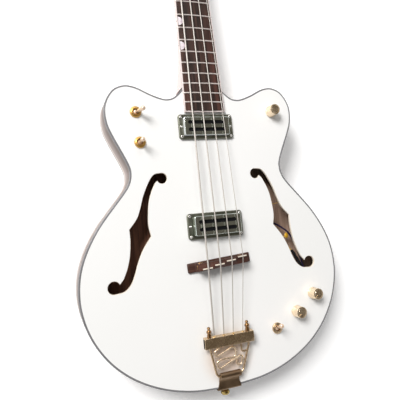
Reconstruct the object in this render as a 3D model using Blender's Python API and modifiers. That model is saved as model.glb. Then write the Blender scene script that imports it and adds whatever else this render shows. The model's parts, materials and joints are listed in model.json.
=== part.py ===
# Electric bass guitar: thin hollow body with two cutaways and two f-holes, long-scale neck.
# It lies on its flat back. +X is the treble side, +Y points to the headstock, +Z out of the top.
# The origin is on the centre line, on the back face, under the line where the scale ends at the bridge.

import math

import bmesh
import bpy
from mathutils import Matrix, Vector

MM = 0.001
GAP = 0.3 * MM                      # clearance between pieces that touch on the real bass

# Overall sizes
SCALE_LENGTH = 864 * MM             # nut to bridge
BODY_WIDTH = 402 * MM               # across the lower bout
BODY_LENGTH = 441.5 * MM            # neck joint to tail, along the centre line
BODY_DEPTH = 50 * MM

# Body shell
PLATE_THICKNESS = 4 * MM
RIM_THICKNESS = 7 * MM              # bent side and its lining strips
BINDING_WIDTH = 2 * MM
NECK_BLOCK_LENGTH = 20 * MM
NECK_BLOCK_HALF_WIDTH = 34 * MM
TAIL_BLOCK_LENGTH = 24 * MM
TAIL_BLOCK_HALF_WIDTH = 36 * MM
TONE_BAR_X = 52 * MM
TONE_BAR_SPLAY = 4 * MM
TONE_BAR_WIDTH = 8 * MM
TONE_BAR_HEIGHT = 14 * MM

# Neck and fretboard
FRET_COUNT = 22
JOIN_FRET = 20                      # the body ends just under this fret
JOIN_OFFSET = 6.2 * MM
NECK_ANGLE = math.radians(2.86)
BOARD_RISE = 7.4 * MM               # board surface over the body top, at the board's end
BOARD_THICKNESS = 6 * MM
BOARD_RADIUS = 305 * MM
NECK_WIDTH_NUT = 39 * MM
NECK_WIDTH_END = 65 * MM
BOARD_BINDING = 1.7 * MM
FRET_WIDTH = 2.4 * MM
FRET_HEIGHT = 1.1 * MM
NECK_DEPTH_NUT = 15 * MM            # neck wood under the fretboard
NECK_DEPTH_HEEL = 18.5 * MM
HEEL_CLEARANCE = 5 * MM             # heel cap over the plane of the back
HEEL_FULLNESS = 7                   # how square the heel is: 2 is round
TENON_HALF_WIDTH = 16 * MM
TENON_LENGTH = 20 * MM
TENON_BOTTOM = 14 * MM              # measured up from the back
TENON_TOP = 6 * MM                  # measured down from the top
TRUSS_ROD_RADIUS = 3 * MM
TRUSS_ROD_END = 85 * MM             # rod's end to the neck joint
TRUSS_ROD_NUT = 10 * MM             # rod's adjusting end past the nut
TRUSS_ROD_DEPTH = 3 * MM            # the rod lies this far under the board
NUT_LENGTH = 5 * MM

# Headstock
HEAD_ANGLE = math.radians(8)
HEAD_THICKNESS = 14 * MM
HEAD_OUTLINE = [(19.5, -1), (21, 9), (28, 24), (36, 40), (40.5, 58), (41, 84), (42, 112),
                (46, 142), (50, 164), (45, 180), (32, 186), (14, 183), (0, 178)]
POST_RADIUS = 6 * MM
POST_WAIST = 5 * MM
POST_HEIGHT = 20 * MM
POST_STRING_HEIGHT = 9 * MM
POST_PLACES = [(-28, 46), (-29, 112), (29, 112), (28, 46)]      # millimetres on the headstock face
HOUSING_SIZE = (24 * MM, 32 * MM, 10 * MM)
KEY_SHAFT_RADIUS = 2.5 * MM
KEY_SHAFT_LENGTH = 16 * MM
KEY_PADDLE_LENGTH = 20 * MM
KEY_PADDLE_WIDTH = 25 * MM
KEY_PADDLE_THICKNESS = 6 * MM

# Strings, from the thickest on the bass side
STRING_DIAMETERS = [2.7 * MM, 2.2 * MM, 1.7 * MM, 1.2 * MM]
STRING_SPACING_NUT = 10 * MM
STRING_SPACING_BRIDGE = 18.4 * MM
STRING_SPACING_TAIL = 14.7 * MM
STRING_SHIFT = 2 * MM               # the strings stand this far to the treble side at the bridge
STRING_LIFT_NUT = 1.7 * MM          # underside of the strings over the board surface
STRING_LIFT_BRIDGE = 5.2 * MM
SADDLE_STEPS = [-4.6 * MM, -0.8 * MM, 3.0 * MM, 6.8 * MM]       # crown of each saddle, along +Y

# Pickups
RING_BORDER = (7.4 * MM, 4.9 * MM)  # ring beyond the cover, at the ends and along the sides
RING_THICKNESS = 4 * MM
COVER_SIZE = (72 * MM, 28 * MM)
COVER_WALL = 1.2 * MM
COVER_SLOT = (56 * MM, 4.2 * MM)
COVER_SLOT_SPACING = 11 * MM
COVER_DEPTH = 8 * MM                # cover below the body top
COVER_RISE_NECK = 9.5 * MM
COVER_RISE_BRIDGE = 16.5 * MM
PICKUP_TO_BOARD = 5.5 * MM          # neck pickup ring to the end of the board
BRIDGE_PICKUP_Y = 55.7 * MM

# Bridge
BRIDGE_ANGLE = math.radians(3.8)
BRIDGE_FOOT = (99 * MM, 14 * MM, 7 * MM)
BRIDGE_EAR = 14 * MM
BRIDGE_EAR_DROP = 3 * MM
SADDLE_BAR_LENGTH = 76 * MM
SADDLE_BAR_WIDTH = 11 * MM
SADDLE_CROWN = 3 * MM
SADDLE_UNDERSIDE = 14.5 * MM        # underside of the saddle bar over the body top
STUD_X = 31 * MM
STUD_RADIUS = 2 * MM
STUD_LENGTH = 10 * MM
WHEEL_RADIUS = 6.5 * MM
WHEEL_THICKNESS = 3 * MM

# Tailpiece, placed from the tail edge of the body
TAIL_BAR_SIZE = (75.6 * MM, 16 * MM, 7 * MM)
TAIL_BAR_FROM_EDGE = 60.5 * MM
TAIL_BAR_LIFT = 8 * MM              # underside of the bar over the body top
TAIL_BAR_SLOPE = 1.5 * MM
TAIL_ROD_RADIUS = 1.8 * MM
TAIL_ROD_LEVEL = 3.5 * MM           # rod axis over the underside of the bar
TAIL_ROD_X = 29.5 * MM
TAIL_ROD_X_HINGE = 19.7 * MM
TAIL_HINGE_FROM_EDGE = 20 * MM
TAIL_HINGE_LIFT = 8.5 * MM
TAIL_HINGE_SHIFT = -2 * MM          # the bracket sits this far to the bass side
FINIAL_LENGTH = 15 * MM
FINIAL_RADIUS = 3.6 * MM
FINIAL_FOOT = 3 * MM                # radius of its foot, which sits in a well in the bar
WIRE_RADIUS = 1.4 * MM
WIRE_BEND = 3.5 * MM
WIRE_LOOP = 5.5 * MM                # bend of the wide loop beside the bar
# Corners of the bent wire in millimetres: x, and y back from the bar's rear face
WIRE_CORNERS = [(8.6, -22.3), (10, -30), (16, -29.5), (20.3, -15), (-19.2, -30.8), (-21, -20.2),
                (-14.5, -17.6), (8.3, -18.2), (9, -1), (-22.3, -13.1), (-24, -5.4), (-16.5, -1.8)]
WIRE_LOOPS = (7, 8)                 # which corners take the wide bend
HOOK_CORNERS = [(17.6, -1.8), (17.6, -12.8), (25, -12)]
BRACKET_THICKNESS = 1.6 * MM
BRACKET_HALF_WIDTH = 15.5 * MM
BRACKET_HALF_WIDTH_RIM = 18 * MM
BRACKET_DROP = 40 * MM
CURL_STEPS = 8
BRACKET_CORNER = CURL_STEPS + 4     # last point of the strip before its flat

# Controls
KNOB_RADIUS = 9 * MM
KNOB_HEIGHT = 16 * MM
KNOB_LIFT = 1.5 * MM
SHAFT_RADIUS = 3 * MM
POT_RADIUS = 12 * MM
POT_HEIGHT = 10 * MM
BUSHING_RADIUS = 4.6 * MM
SWITCH_NUT_RADIUS = 8.5 * MM
SWITCH_NUT_HEIGHT = 3.5 * MM
SWITCH_BORE = 4.4 * MM
SWITCH_BUSHING = 5.8 * MM
SWITCH_BODY_RADIUS = 10.5 * MM
SWITCH_BODY_HEIGHT = 20 * MM
LEVER_RADIUS = 1.5 * MM
LEVER_TIP_RADIUS = 2.9 * MM
LEVER_REACH = 25 * MM
LEVER_PIVOT_DEPTH = 1 * MM          # pivot below the body top
LEVER_THROW = math.radians(18)
JACK_BORE = 3.3 * MM
JACK_BARREL = 4.7 * MM
JACK_FLANGE = 10 * MM
STRAP_BUTTON_RADIUS = 8 * MM
STRAP_BUTTON_LENGTH = 14 * MM
STRAP_BUTTON_FOOT = 5.5 * MM         # radius of its foot
STRAP_BUTTON_TO_JOINT = 12 * MM     # heel button, from the neck joint
STRAP_BUTTON_LEVEL = 18 * MM        # heel button, over the plane of the back

# Half outline of the body in millimetres: x, and y back from the neck joint, at the design size
DESIGN_WIDTH = 402
DESIGN_LENGTH = 441.5
OUTLINE = [(0, 0), (22, 0), (30, -0.8), (35, -5.4), (47, -15.4), (62, -17.5), (84, -9.5), (100, -1.5),
           (118, 2.5), (136, -4), (148, -21), (151.5, -39), (148, -61), (136, -88), (124, -114), (121.2, -129),
           (126.5, -146), (144.5, -168.5), (168, -197), (186, -226.5), (197, -255), (201, -284),
           (198.5, -313), (187.5, -346), (166, -379), (135, -406.5), (95, -427), (50, -438.5), (0, -441.5)]

# F-hole in the same frame: edges from the upper eye down, and the two eyes as x, y, radius
F_INNER = [(85.5, -143), (91, -153.5), (96.5, -169), (99.5, -189), (100, -204), (97.5, -218),
           (110, -235), (118.5, -252), (124.5, -268.5), (130.8, -281), (140.5, -289.2)]
F_OUTER = [(84.8, -130), (91, -135.2), (98, -147), (104.5, -161), (110, -178), (116, -192),
           (127.5, -206), (127.3, -222), (129.5, -242), (134, -258.5), (140, -272)]
F_UPPER_EYE = (75, -136.6, 7.8)
F_LOWER_EYE = (154, -282.2, 8.7)

# Places of the controls in the same frame
KNOB_PLACES = {"horn": (114.5, -38), "upper": (152.5, -331), "lower": (120, -354)}
SWITCH_PLACES = {"horn": (-106, -38), "waist": (-103, -83), "lower": (83.5, -373.5)}
SWITCH_TILT = {"horn": (LEVER_THROW, 0), "waist": (0, 0), "lower": (LEVER_THROW, 110)}
JACK_ROW = -288                     # along the side, where the outline is widest


def fret_place(number):
    return SCALE_LENGTH * 2 ** (-number / 12)


HEEL_LINE = fret_place(JOIN_FRET) - JOIN_OFFSET
TAIL_EDGE = HEEL_LINE - BODY_LENGTH
BOARD_END = fret_place(FRET_COUNT + 1)
TOP = BODY_DEPTH
BOARD_AT_BRIDGE = TOP + BOARD_RISE + math.tan(NECK_ANGLE) * BOARD_END
HEAD_START = SCALE_LENGTH + NUT_LENGTH
NECK_START = (HEEL_LINE + GAP) / math.cos(NECK_ANGLE)           # along the neck, like the next
BOARD_STEP = NECK_START + BOARD_THICKNESS * math.tan(NECK_ANGLE)    # the board leaves the body here
NECK = Matrix.Translation((0, 0, BOARD_AT_BRIDGE)) @ Matrix.Rotation(-NECK_ANGLE, 4, "X")
HEAD = (NECK @ Matrix.Translation((0, HEAD_START, -BOARD_THICKNESS - GAP))
        @ Matrix.Rotation(-HEAD_ANGLE, 4, "X"))
BRIDGE = Matrix.Translation((0, 0, TOP)) @ Matrix.Rotation(BRIDGE_ANGLE, 4, "Z")


# Scene and materials

def clear_scene():
    for old in list(bpy.data.objects):
        bpy.data.objects.remove(old, do_unlink=True)


def collection(name):
    made = bpy.data.collections.new(name)
    bpy.context.scene.collection.children.link(made)
    return made


def material(name, colour, roughness, metallic=0.0):
    made = bpy.data.materials.new(name)
    made.use_nodes = True
    shader = made.node_tree.nodes["Principled BSDF"]
    shader.inputs["Base Color"].default_value = (*colour, 1)
    shader.inputs["Roughness"].default_value = roughness
    shader.inputs["Metallic"].default_value = metallic
    made.diffuse_color = (*colour, 1)
    return made


clear_scene()
PARTS = collection("electric_bass_guitar")
CUTTERS = collection("cutters")
WHITE = material("white_gloss", (0.88, 0.88, 0.86), 0.15)
GREY_BINDING = material("grey_binding", (0.42, 0.42, 0.40), 0.4)
SPRUCE = material("inner_wood", (0.55, 0.38, 0.22), 0.7)
ROSEWOOD = material("rosewood", (0.07, 0.035, 0.025), 0.5)
CREAM = material("cream_binding", (0.82, 0.74, 0.66), 0.4)
BONE = material("bone", (0.85, 0.8, 0.7), 0.4)
BLACK = material("black_plastic", (0.02, 0.02, 0.02), 0.45)
GOLD = material("gold_plate", (0.75, 0.5, 0.2), 0.25, 1.0)
CHROME = material("chrome", (0.6, 0.6, 0.58), 0.15, 1.0)
STEEL = material("steel", (0.55, 0.55, 0.56), 0.35, 1.0)
RING_METAL = material("ring_metal", (0.12, 0.12, 0.09), 0.3, 1.0)


def add(name, mesh, finish, frame=None, cutter=False):
    """Put a mesh into the scene as a named part, or as a cutter that only shows as wire."""
    made = bpy.data.objects.new(name, mesh)
    (CUTTERS if cutter else PARTS).objects.link(made)
    if frame is not None:
        made.matrix_world = frame
    if cutter:
        made.hide_render = True
        made.display_type = "WIRE"
    else:
        mesh.materials.append(finish)
    return made


# Shapes

def mesh_of(name, shape):
    bmesh.ops.recalc_face_normals(shape, faces=shape.faces)
    mesh = bpy.data.meshes.new(name)
    shape.to_mesh(mesh)
    shape.free()
    return mesh


def box_mesh(name, low, high):
    shape = bmesh.new()
    size = Vector(high) - Vector(low)
    middle = (Vector(high) + Vector(low)) / 2
    place = Matrix.Translation(middle) @ Matrix.Diagonal((*size, 1))
    bmesh.ops.create_cube(shape, size=1, matrix=place)
    return mesh_of(name, shape)


def rod_mesh(name, radius, start, end, sides=24):
    """A cylinder between two points."""
    start, end = Vector(start), Vector(end)
    turn = (end - start).to_track_quat("Z", "Y").to_matrix().to_4x4()
    shape = bmesh.new()
    bmesh.ops.create_cone(shape, cap_ends=True, segments=sides, radius1=radius, radius2=radius,
                          depth=(end - start).length,
                          matrix=Matrix.Translation((start + end) / 2) @ turn)
    return mesh_of(name, shape)


def mesh_from_curve(name, curve):
    """Turn a curve into a closed mesh: its caps are loose until they are welded."""
    holder = bpy.data.objects.new(name, curve)
    bpy.context.scene.collection.objects.link(holder)
    bpy.context.view_layer.update()
    evaluated = holder.evaluated_get(bpy.context.evaluated_depsgraph_get())
    mesh = bpy.data.meshes.new_from_object(evaluated)
    bpy.data.objects.remove(holder, do_unlink=True)
    shape = bmesh.new()
    shape.from_mesh(mesh)
    bmesh.ops.remove_doubles(shape, verts=shape.verts, dist=0.01 * MM)
    bpy.data.meshes.remove(mesh)
    return mesh_of(name, shape)


def plate_mesh(name, outlines, low, high):
    """A flat plate between two heights. The first outline is its edge and the others are holes."""
    curve = bpy.data.curves.new(name, "CURVE")
    curve.dimensions = "2D"
    curve.fill_mode = "BOTH"
    curve.extrude = (high - low) / 2
    for outline in outlines:
        spline = curve.splines.new("POLY")
        spline.points.add(len(outline) - 1)
        for point, place in zip(spline.points, outline):
            point.co = (place[0], place[1], 0, 1)
        spline.use_cyclic_u = True
    mesh = mesh_from_curve(name, curve)
    mesh.transform(Matrix.Translation((0, 0, (low + high) / 2)))
    return mesh


def tube_mesh(name, points, radius, resolution=2):
    """A round wire along the points."""
    curve = bpy.data.curves.new(name, "CURVE")
    curve.dimensions = "3D"
    curve.bevel_depth = radius
    curve.bevel_resolution = resolution
    curve.use_fill_caps = True
    spline = curve.splines.new("POLY")
    spline.points.add(len(points) - 1)
    for point, place in zip(spline.points, points):
        point.co = (*place, 1)
    return mesh_from_curve(name, curve)


def turned(name, profile, finish, frame, steps=24, closed=False, cutter=False):
    """A turned piece. The profile holds radius and height, and runs down the outer side."""
    mesh = bpy.data.meshes.new(name)
    edges = [(i, i + 1) for i in range(len(profile) - 1)]
    if closed:
        edges.append((len(profile) - 1, 0))
    mesh.from_pydata([(radius, 0, height) for radius, height in profile], edges, [])
    made = add(name, mesh, finish, frame, cutter)
    screw = made.modifiers.new("turn", "SCREW")
    screw.steps = steps
    screw.render_steps = steps
    screw.use_merge_vertices = True
    screw.merge_threshold = 0.01 * MM
    screw.use_smooth_shade = True
    return made


def loft_mesh(name, sections):
    """Skin sections that all have the same number of points, and cap both ends."""
    shape = bmesh.new()
    rings = [[shape.verts.new(point) for point in section] for section in sections]
    count = len(rings[0])
    for near, far in zip(rings, rings[1:]):
        for i in range(count):
            after = (i + 1) % count
            shape.faces.new((near[i], near[after], far[after], far[i]))
    shape.faces.new(rings[0])
    shape.faces.new(rings[-1])
    return mesh_of(name, shape)


def boolean(target, other, operation):
    made = target.modifiers.new(other.name, "BOOLEAN")
    made.operation = operation
    made.solver = "EXACT"
    made.object = other


def cut(target, name, mesh, frame=None):
    boolean(target, add("cut_" + name, mesh, None, frame, cutter=True), "DIFFERENCE")


def join(target, name, mesh, frame=None):
    boolean(target, add("add_" + name, mesh, None, frame, cutter=True), "UNION")


def bevel(target, width, segments=2):
    made = target.modifiers.new("round_edges", "BEVEL")
    made.width = width
    made.segments = segments
    made.limit_method = "ANGLE"
    made.angle_limit = math.radians(50)


def smooth(target):
    target.data.shade_smooth()
    target.data.set_sharp_from_angle(angle=math.radians(35))


# Outlines

def spline_through(points, per_span):
    """Catmull-Rom curve through the points, ends included."""
    ends = [2 * Vector(points[0]) - Vector(points[1])]
    after = [2 * Vector(points[-1]) - Vector(points[-2])]
    knots = ends + [Vector(point) for point in points] + after
    path = []
    for i in range(1, len(knots) - 2):
        a, b, c, d = knots[i - 1:i + 3]
        for step in range(per_span):
            t = step / per_span
            path.append(0.5 * (2 * b + (c - a) * t + (2 * a - 5 * b + 4 * c - d) * t ** 2
                               + (3 * b - a - 3 * c + d) * t ** 3))
    path.append(knots[-2])
    return path


def rounded_path(corners, radii, steps):
    """Straight runs between the corners, with an arc at each inner corner."""
    path = [corners[0]]
    for before, corner, after, radius in zip(corners, corners[1:], corners[2:], radii[1:]):
        back, ahead = (before - corner).normalized(), (after - corner).normalized()
        half = back.angle(ahead) / 2
        reach = radius / math.tan(half)
        centre = corner + (back + ahead).normalized() * radius / math.sin(half)
        start, end = corner + back * reach - centre, corner + ahead * reach - centre
        path += [centre + start.slerp(end, step / steps) * radius / start.slerp(end, step / steps).length
                 for step in range(steps + 1)]
    path.append(corners[-1])
    return path


def body_place(x, y):
    """A place on the body, given at the design size and from the neck joint."""
    return Vector((x * MM * BODY_WIDTH / (DESIGN_WIDTH * MM),
                   HEEL_LINE + y * MM * BODY_LENGTH / (DESIGN_LENGTH * MM)))


def body_outline(inset=0.0):
    """The whole outline, clockwise from the neck joint, moved inwards by the inset."""
    half = [body_place(*point) for point in spline_through(OUTLINE, 2)]
    whole = half + [Vector((-point.x, point.y)) for point in reversed(half[1:-1])]
    moved = []
    for i, point in enumerate(whole):
        along = whole[(i + 1) % len(whole)] - whole[i - 1]
        inwards = Vector((along.y, -along.x)).normalized()
        moved.append(point + inwards * inset)
    return moved


def circle(centre, radius, sides=24):
    turn = 2 * math.pi / sides
    return [Vector((centre[0] + radius * math.cos(i * turn), centre[1] + radius * math.sin(i * turn)))
            for i in range(sides)]


def rounded_rectangle(size, corner, centre=(0, 0), per_corner=2):
    points = []
    for quarter, (sx, sy) in enumerate([(1, 1), (-1, 1), (-1, -1), (1, -1)]):
        middle = Vector((centre[0] + sx * (size[0] / 2 - corner), centre[1] + sy * (size[1] / 2 - corner)))
        for step in range(per_corner + 1):
            angle = math.pi / 2 * (quarter + step / per_corner)
            points.append(middle + corner * Vector((math.cos(angle), math.sin(angle))))
    return points


def eye_arc(eye, start, end, sides=7):
    """Part of an eye of the f-hole, from where one edge runs into it to the notch at the other."""
    points = []
    for step in range(sides + 1):
        angle = math.radians(start + (end - start) * step / sides)
        points.append((eye[0] + eye[2] * math.cos(angle), eye[1] + eye[2] * math.sin(angle)))
    return points


def f_hole(side):
    """Outline of one f-hole, on the treble side (+1) or mirrored to the bass side (-1)."""
    points = F_INNER + eye_arc(F_LOWER_EYE, 262, 518) + F_OUTER[::-1] + eye_arc(F_UPPER_EYE, 80, 335)
    return [body_place(side * x, y) for x, y in points]


# Body

def pickup_places():
    neck_y = BOARD_END - PICKUP_TO_BOARD - RING_BORDER[1] - COVER_SIZE[1] / 2
    return {"neck": (neck_y, COVER_RISE_NECK), "bridge": (BRIDGE_PICKUP_Y, COVER_RISE_BRIDGE)}


def build_body():
    outer = body_outline()
    inner = body_outline(BINDING_WIDTH + GAP)
    wall = body_outline(RIM_THICKNESS)
    add("body_back", plate_mesh("body_back", [inner], 0, PLATE_THICKNESS), WHITE)
    ring = [outer, body_outline(BINDING_WIDTH)]
    add("back_binding", plate_mesh("back_binding", ring, 0, PLATE_THICKNESS), GREY_BINDING)
    add("top_binding", plate_mesh("top_binding", ring, TOP - PLATE_THICKNESS, TOP), GREY_BINDING)
    low, high = PLATE_THICKNESS + GAP, TOP - PLATE_THICKNESS - GAP
    rim = add("body_rim", plate_mesh("body_rim", [outer, wall], low, high), WHITE)
    cut(rim, "rim_window", tenon_mesh(GAP))
    jack = body_place(DESIGN_WIDTH / 2, JACK_ROW)
    across = rod_mesh("jack_hole", JACK_BARREL + GAP, (jack.x - 0.02, jack.y, TOP / 2),
                      (jack.x + 0.01, jack.y, TOP / 2))
    cut(rim, "jack_hole", across)

    holes = [f_hole(1), f_hole(-1)]
    for pickup_y, rise in pickup_places().values():
        hole = (COVER_SIZE[0] + 4 * GAP, COVER_SIZE[1] + 4 * GAP)
        holes.append(rounded_rectangle(hole, 3 * MM, (0, pickup_y)))
    for place in KNOB_PLACES.values():
        holes.append(circle(body_place(*place), BUSHING_RADIUS + GAP, 12))
    for place in SWITCH_PLACES.values():
        holes.append(circle(body_place(*place), SWITCH_BUSHING + GAP, 12))
    add("body_top", plate_mesh("body_top", [inner] + holes, TOP - PLATE_THICKNESS, TOP), WHITE)

    inside = body_outline(RIM_THICKNESS + GAP)
    near_neck = [p for p in inside if abs(p.x) < NECK_BLOCK_HALF_WIDTH and p.y > TAIL_EDGE / 2]
    near_neck.sort(key=lambda p: p.x)
    front = min(p.y for p in near_neck) - NECK_BLOCK_LENGTH
    block = near_neck + [Vector((near_neck[-1].x, front)), Vector((near_neck[0].x, front))]
    neck_block = add("neck_block", plate_mesh("neck_block", [block], low, high), SPRUCE)
    cut(neck_block, "mortise", tenon_mesh(GAP))
    near_tail = [p for p in inside if abs(p.x) < TAIL_BLOCK_HALF_WIDTH and p.y < TAIL_EDGE / 2]
    near_tail.sort(key=lambda p: p.x)
    back = max(p.y for p in near_tail) + TAIL_BLOCK_LENGTH
    block = near_tail + [Vector((near_tail[-1].x, back)), Vector((near_tail[0].x, back))]
    add("tail_block", plate_mesh("tail_block", [block], low, high), SPRUCE)
    build_tone_bars(front, back, high)


def build_tone_bars(front, back, ceiling):
    """Two tapered bars glued under the top, one on each side of the pickups."""
    start, end = front - 8 * MM, back + 12 * MM
    shoulder = 40 * MM
    tip = TONE_BAR_HEIGHT / 3
    profile = [(end, 0), (start, 0), (start, -tip), (start - shoulder, -TONE_BAR_HEIGHT),
               (end + shoulder, -TONE_BAR_HEIGHT), (end, -tip)]
    for name, side in (("tone_bar_bass", -1), ("tone_bar_treble", 1)):
        sections = []
        for across in (-0.5, 0.5):
            x = across * TONE_BAR_WIDTH
            sections.append([(side * (TONE_BAR_X + x + TONE_BAR_SPLAY * (start - y) / (start - end)), y,
                              ceiling + z) for y, z in profile])
        add(name, loft_mesh(name, sections), SPRUCE)


def tenon_mesh(margin):
    """The tongue of the neck that sits in the rim and the neck block."""
    return box_mesh("tenon", (-TENON_HALF_WIDTH - margin, HEEL_LINE - TENON_LENGTH - margin,
                              TENON_BOTTOM - margin),
                    (TENON_HALF_WIDTH + margin, HEEL_LINE + 5 * MM, TOP - TENON_TOP + margin))


# Neck

def neck_half(along):
    """Half width of the neck, by distance from the bridge line."""
    share = (SCALE_LENGTH - along) / (SCALE_LENGTH - BOARD_END)
    return (NECK_WIDTH_NUT + (NECK_WIDTH_END - NECK_WIDTH_NUT) * share) / 2


def height_at(along, world_z):
    """Height over the board surface, in the neck's frame, of a level in the world."""
    return (world_z - BOARD_AT_BRIDGE + along * math.sin(NECK_ANGLE)) / math.cos(NECK_ANGLE)


def board_floor(along):
    """Underside of the fretboard: on the neck, or on the body top past the neck joint."""
    return height_at(along, TOP + GAP) if along < BOARD_STEP + GAP / 2 else -BOARD_THICKNESS


def crown(x):
    return -x * x / (2 * BOARD_RADIUS)


def board_section(along, raised):
    half = neck_half(along) - BOARD_BINDING - GAP / 2
    arc = [half * (i / 2 - 1) for i in range(5)]
    top = [(x, along, crown(x) + raised) for x in arc]
    floor = board_floor(along)
    return top + [(half, along, floor), (-half, along, floor)]


def build_fretboard():
    sections = [board_section(BOARD_END + GAP, 0)]
    for number in range(FRET_COUNT, 0, -1):
        place = fret_place(number)
        if number == JOIN_FRET:
            sections.append(board_section(BOARD_STEP, 0))
            sections.append(board_section(BOARD_STEP + GAP, 0))
        for shift, raised in ((-0.5, 0), (-0.35, 1), (0.35, 1), (0.5, 0)):
            sections.append(board_section(place + shift * FRET_WIDTH, raised * FRET_HEIGHT))
    sections.append(board_section(SCALE_LENGTH, 0))
    board = add("fretboard", loft_mesh("fretboard", sections), ROSEWOOD, NECK)

    strip = []
    stations = [SCALE_LENGTH, BOARD_STEP + GAP, BOARD_STEP, BOARD_END]
    for side, order in ((-1, stations), (1, stations[::-1])):
        for along in order:
            inner = neck_half(along) - BOARD_BINDING
            outer = neck_half(along)
            end = along - BOARD_BINDING if along == BOARD_END else along
            top = crown(outer)
            strip.append([(side * outer, end, top), (side * inner, along, top),
                          (side * inner, along, board_floor(along)),
                          (side * outer, end, board_floor(along))])
    add("fretboard_binding", loft_mesh("fretboard_binding", strip), CREAM, NECK)
    return board


def neck_section(along, depth, fullness, top=None, upright=0.0, sides=12):
    """D-shaped section under the board. Fullness 2 is round and 6 is nearly square."""
    half = neck_half(along)
    top = -BOARD_THICKNESS - GAP if top is None else top
    section = []
    for i in range(sides + 1):
        angle = math.pi * i / sides
        x = half * math.copysign(abs(math.cos(angle)) ** (2 / fullness), math.cos(angle))
        h = top - depth * math.sin(angle) ** (2 / fullness)
        section.append((x, along - upright * h * math.tan(NECK_ANGLE), h))
    return section


def heel_depth():
    return -height_at(HEEL_LINE, HEEL_CLEARANCE) - BOARD_THICKNESS - GAP


def heel_side(along, level):
    """Half width of the heel at a level in the world."""
    share = (-BOARD_THICKNESS - GAP - height_at(along, level)) / heel_depth()
    reach = math.sqrt(1 - share ** HEEL_FULLNESS)
    return neck_half(along) * reach ** (2 / HEEL_FULLNESS)


def build_neck():
    depth = heel_depth()
    grow = depth - NECK_DEPTH_HEEL
    middle = (NECK_DEPTH_NUT + NECK_DEPTH_HEEL) / 2
    dip = math.tan(HEAD_ANGLE)
    sections = [
        neck_section(NECK_START, depth, HEEL_FULLNESS, upright=1),
        neck_section(HEEL_LINE + 16 * MM, depth - 0.04 * grow, 4, upright=0.6),
        neck_section(HEEL_LINE + 30 * MM, NECK_DEPTH_HEEL + 0.82 * grow, 2.8, upright=0.3),
        neck_section(HEEL_LINE + 43 * MM, NECK_DEPTH_HEEL + 0.6 * grow, 2.3),
        neck_section(HEEL_LINE + 56 * MM, NECK_DEPTH_HEEL + 0.33 * grow, 2.1),
        neck_section(HEEL_LINE + 70 * MM, NECK_DEPTH_HEEL + 0.12 * grow, 2),
        neck_section(HEEL_LINE + 90 * MM, NECK_DEPTH_HEEL, 2),
        neck_section((HEEL_LINE + SCALE_LENGTH) / 2, middle, 2.05),
        neck_section(SCALE_LENGTH - 30 * MM, NECK_DEPTH_NUT, 2.2),
        neck_section(HEAD_START, NECK_DEPTH_NUT, 2.5),
        neck_section(HEAD_START + 16 * MM, NECK_DEPTH_NUT - 16 * MM * dip, 4,
                     top=-BOARD_THICKNESS - 2 * GAP - 16 * MM * dip)]
    neck = add("neck", loft_mesh("neck", sections), WHITE, NECK)
    half = [Vector((x * MM, y * MM)) for x, y in HEAD_OUTLINE]
    curve = spline_through(half[3:], 2)
    flare = half[:1] + spline_through(half[:4], 2)[1:-1]
    right = flare + curve
    outline = right + [Vector((-point.x, point.y)) for point in reversed(right[:-1])]
    join(neck, "headstock", plate_mesh("headstock", [outline], -HEAD_THICKNESS, 0), HEAD)
    join(neck, "tenon", tenon_mesh(0))
    for number, (x, y) in enumerate(POST_PLACES, 1):
        place = Vector((x * MM, y * MM, 0))
        hole = rod_mesh("post_hole", POST_RADIUS + GAP, place + Vector((0, 0, -2 * HEAD_THICKNESS)),
                        place + Vector((0, 0, HEAD_THICKNESS)), 16)
        cut(neck, "post_hole_%d" % number, hole, HEAD)
    channel = TRUSS_ROD_RADIUS + GAP
    start, end = HEAD_START + TRUSS_ROD_NUT, HEEL_LINE + TRUSS_ROD_END
    groove = box_mesh("rod_channel", (-channel, end - 2 * GAP, -BOARD_THICKNESS - TRUSS_ROD_DEPTH - 2 * channel),
                      (channel, start + 12 * MM, -BOARD_THICKNESS + 5 * MM))
    cut(neck, "rod_channel", groove, NECK)
    level = -BOARD_THICKNESS - TRUSS_ROD_DEPTH - channel
    rod = rod_mesh("truss_rod", TRUSS_ROD_RADIUS, (0, end, level), (0, start, level), 12)
    add("truss_rod", rod, STEEL, NECK)


def build_head_fittings():
    lid = [Vector((x * MM, y * MM)) for x, y in [(0, 3), (9, 3), (11.5, 8), (10.5, 18), (7, 27), (0, 33)]]
    lid = lid + [Vector((-point.x, point.y)) for point in reversed(lid[1:-1])]
    cover = add("truss_rod_cover", plate_mesh("truss_rod_cover", [lid], GAP, GAP + 2 * MM), BLACK, HEAD)
    bevel(cover, 0.6 * MM, 1)
    half = NECK_WIDTH_NUT / 2
    top = STRING_LIFT_NUT + 2 * MM
    nut = add("nut", box_mesh("nut", (-half, SCALE_LENGTH + GAP, -BOARD_THICKNESS),
                              (half, HEAD_START, top)), BONE, NECK)
    bevel(nut, 0.7 * MM, 1)
    for number in range(4):
        radius = STRING_DIAMETERS[number] / 2
        x = nut_x(number)
        floor = STRING_LIFT_NUT + crown(x) + radius
        slot = rod_mesh("slot", radius + GAP, (x, SCALE_LENGTH - 5 * MM, floor),
                        (x, HEAD_START + 5 * MM, floor), 8)
        cut(nut, "nut_slot_%d" % (number + 1), slot, NECK)
        above = box_mesh("slot_top", (x - radius - GAP, SCALE_LENGTH - 5 * MM, floor),
                         (x + radius + GAP, HEAD_START + 5 * MM, top + 5 * MM))
        cut(nut, "nut_mouth_%d" % (number + 1), above, NECK)


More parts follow.
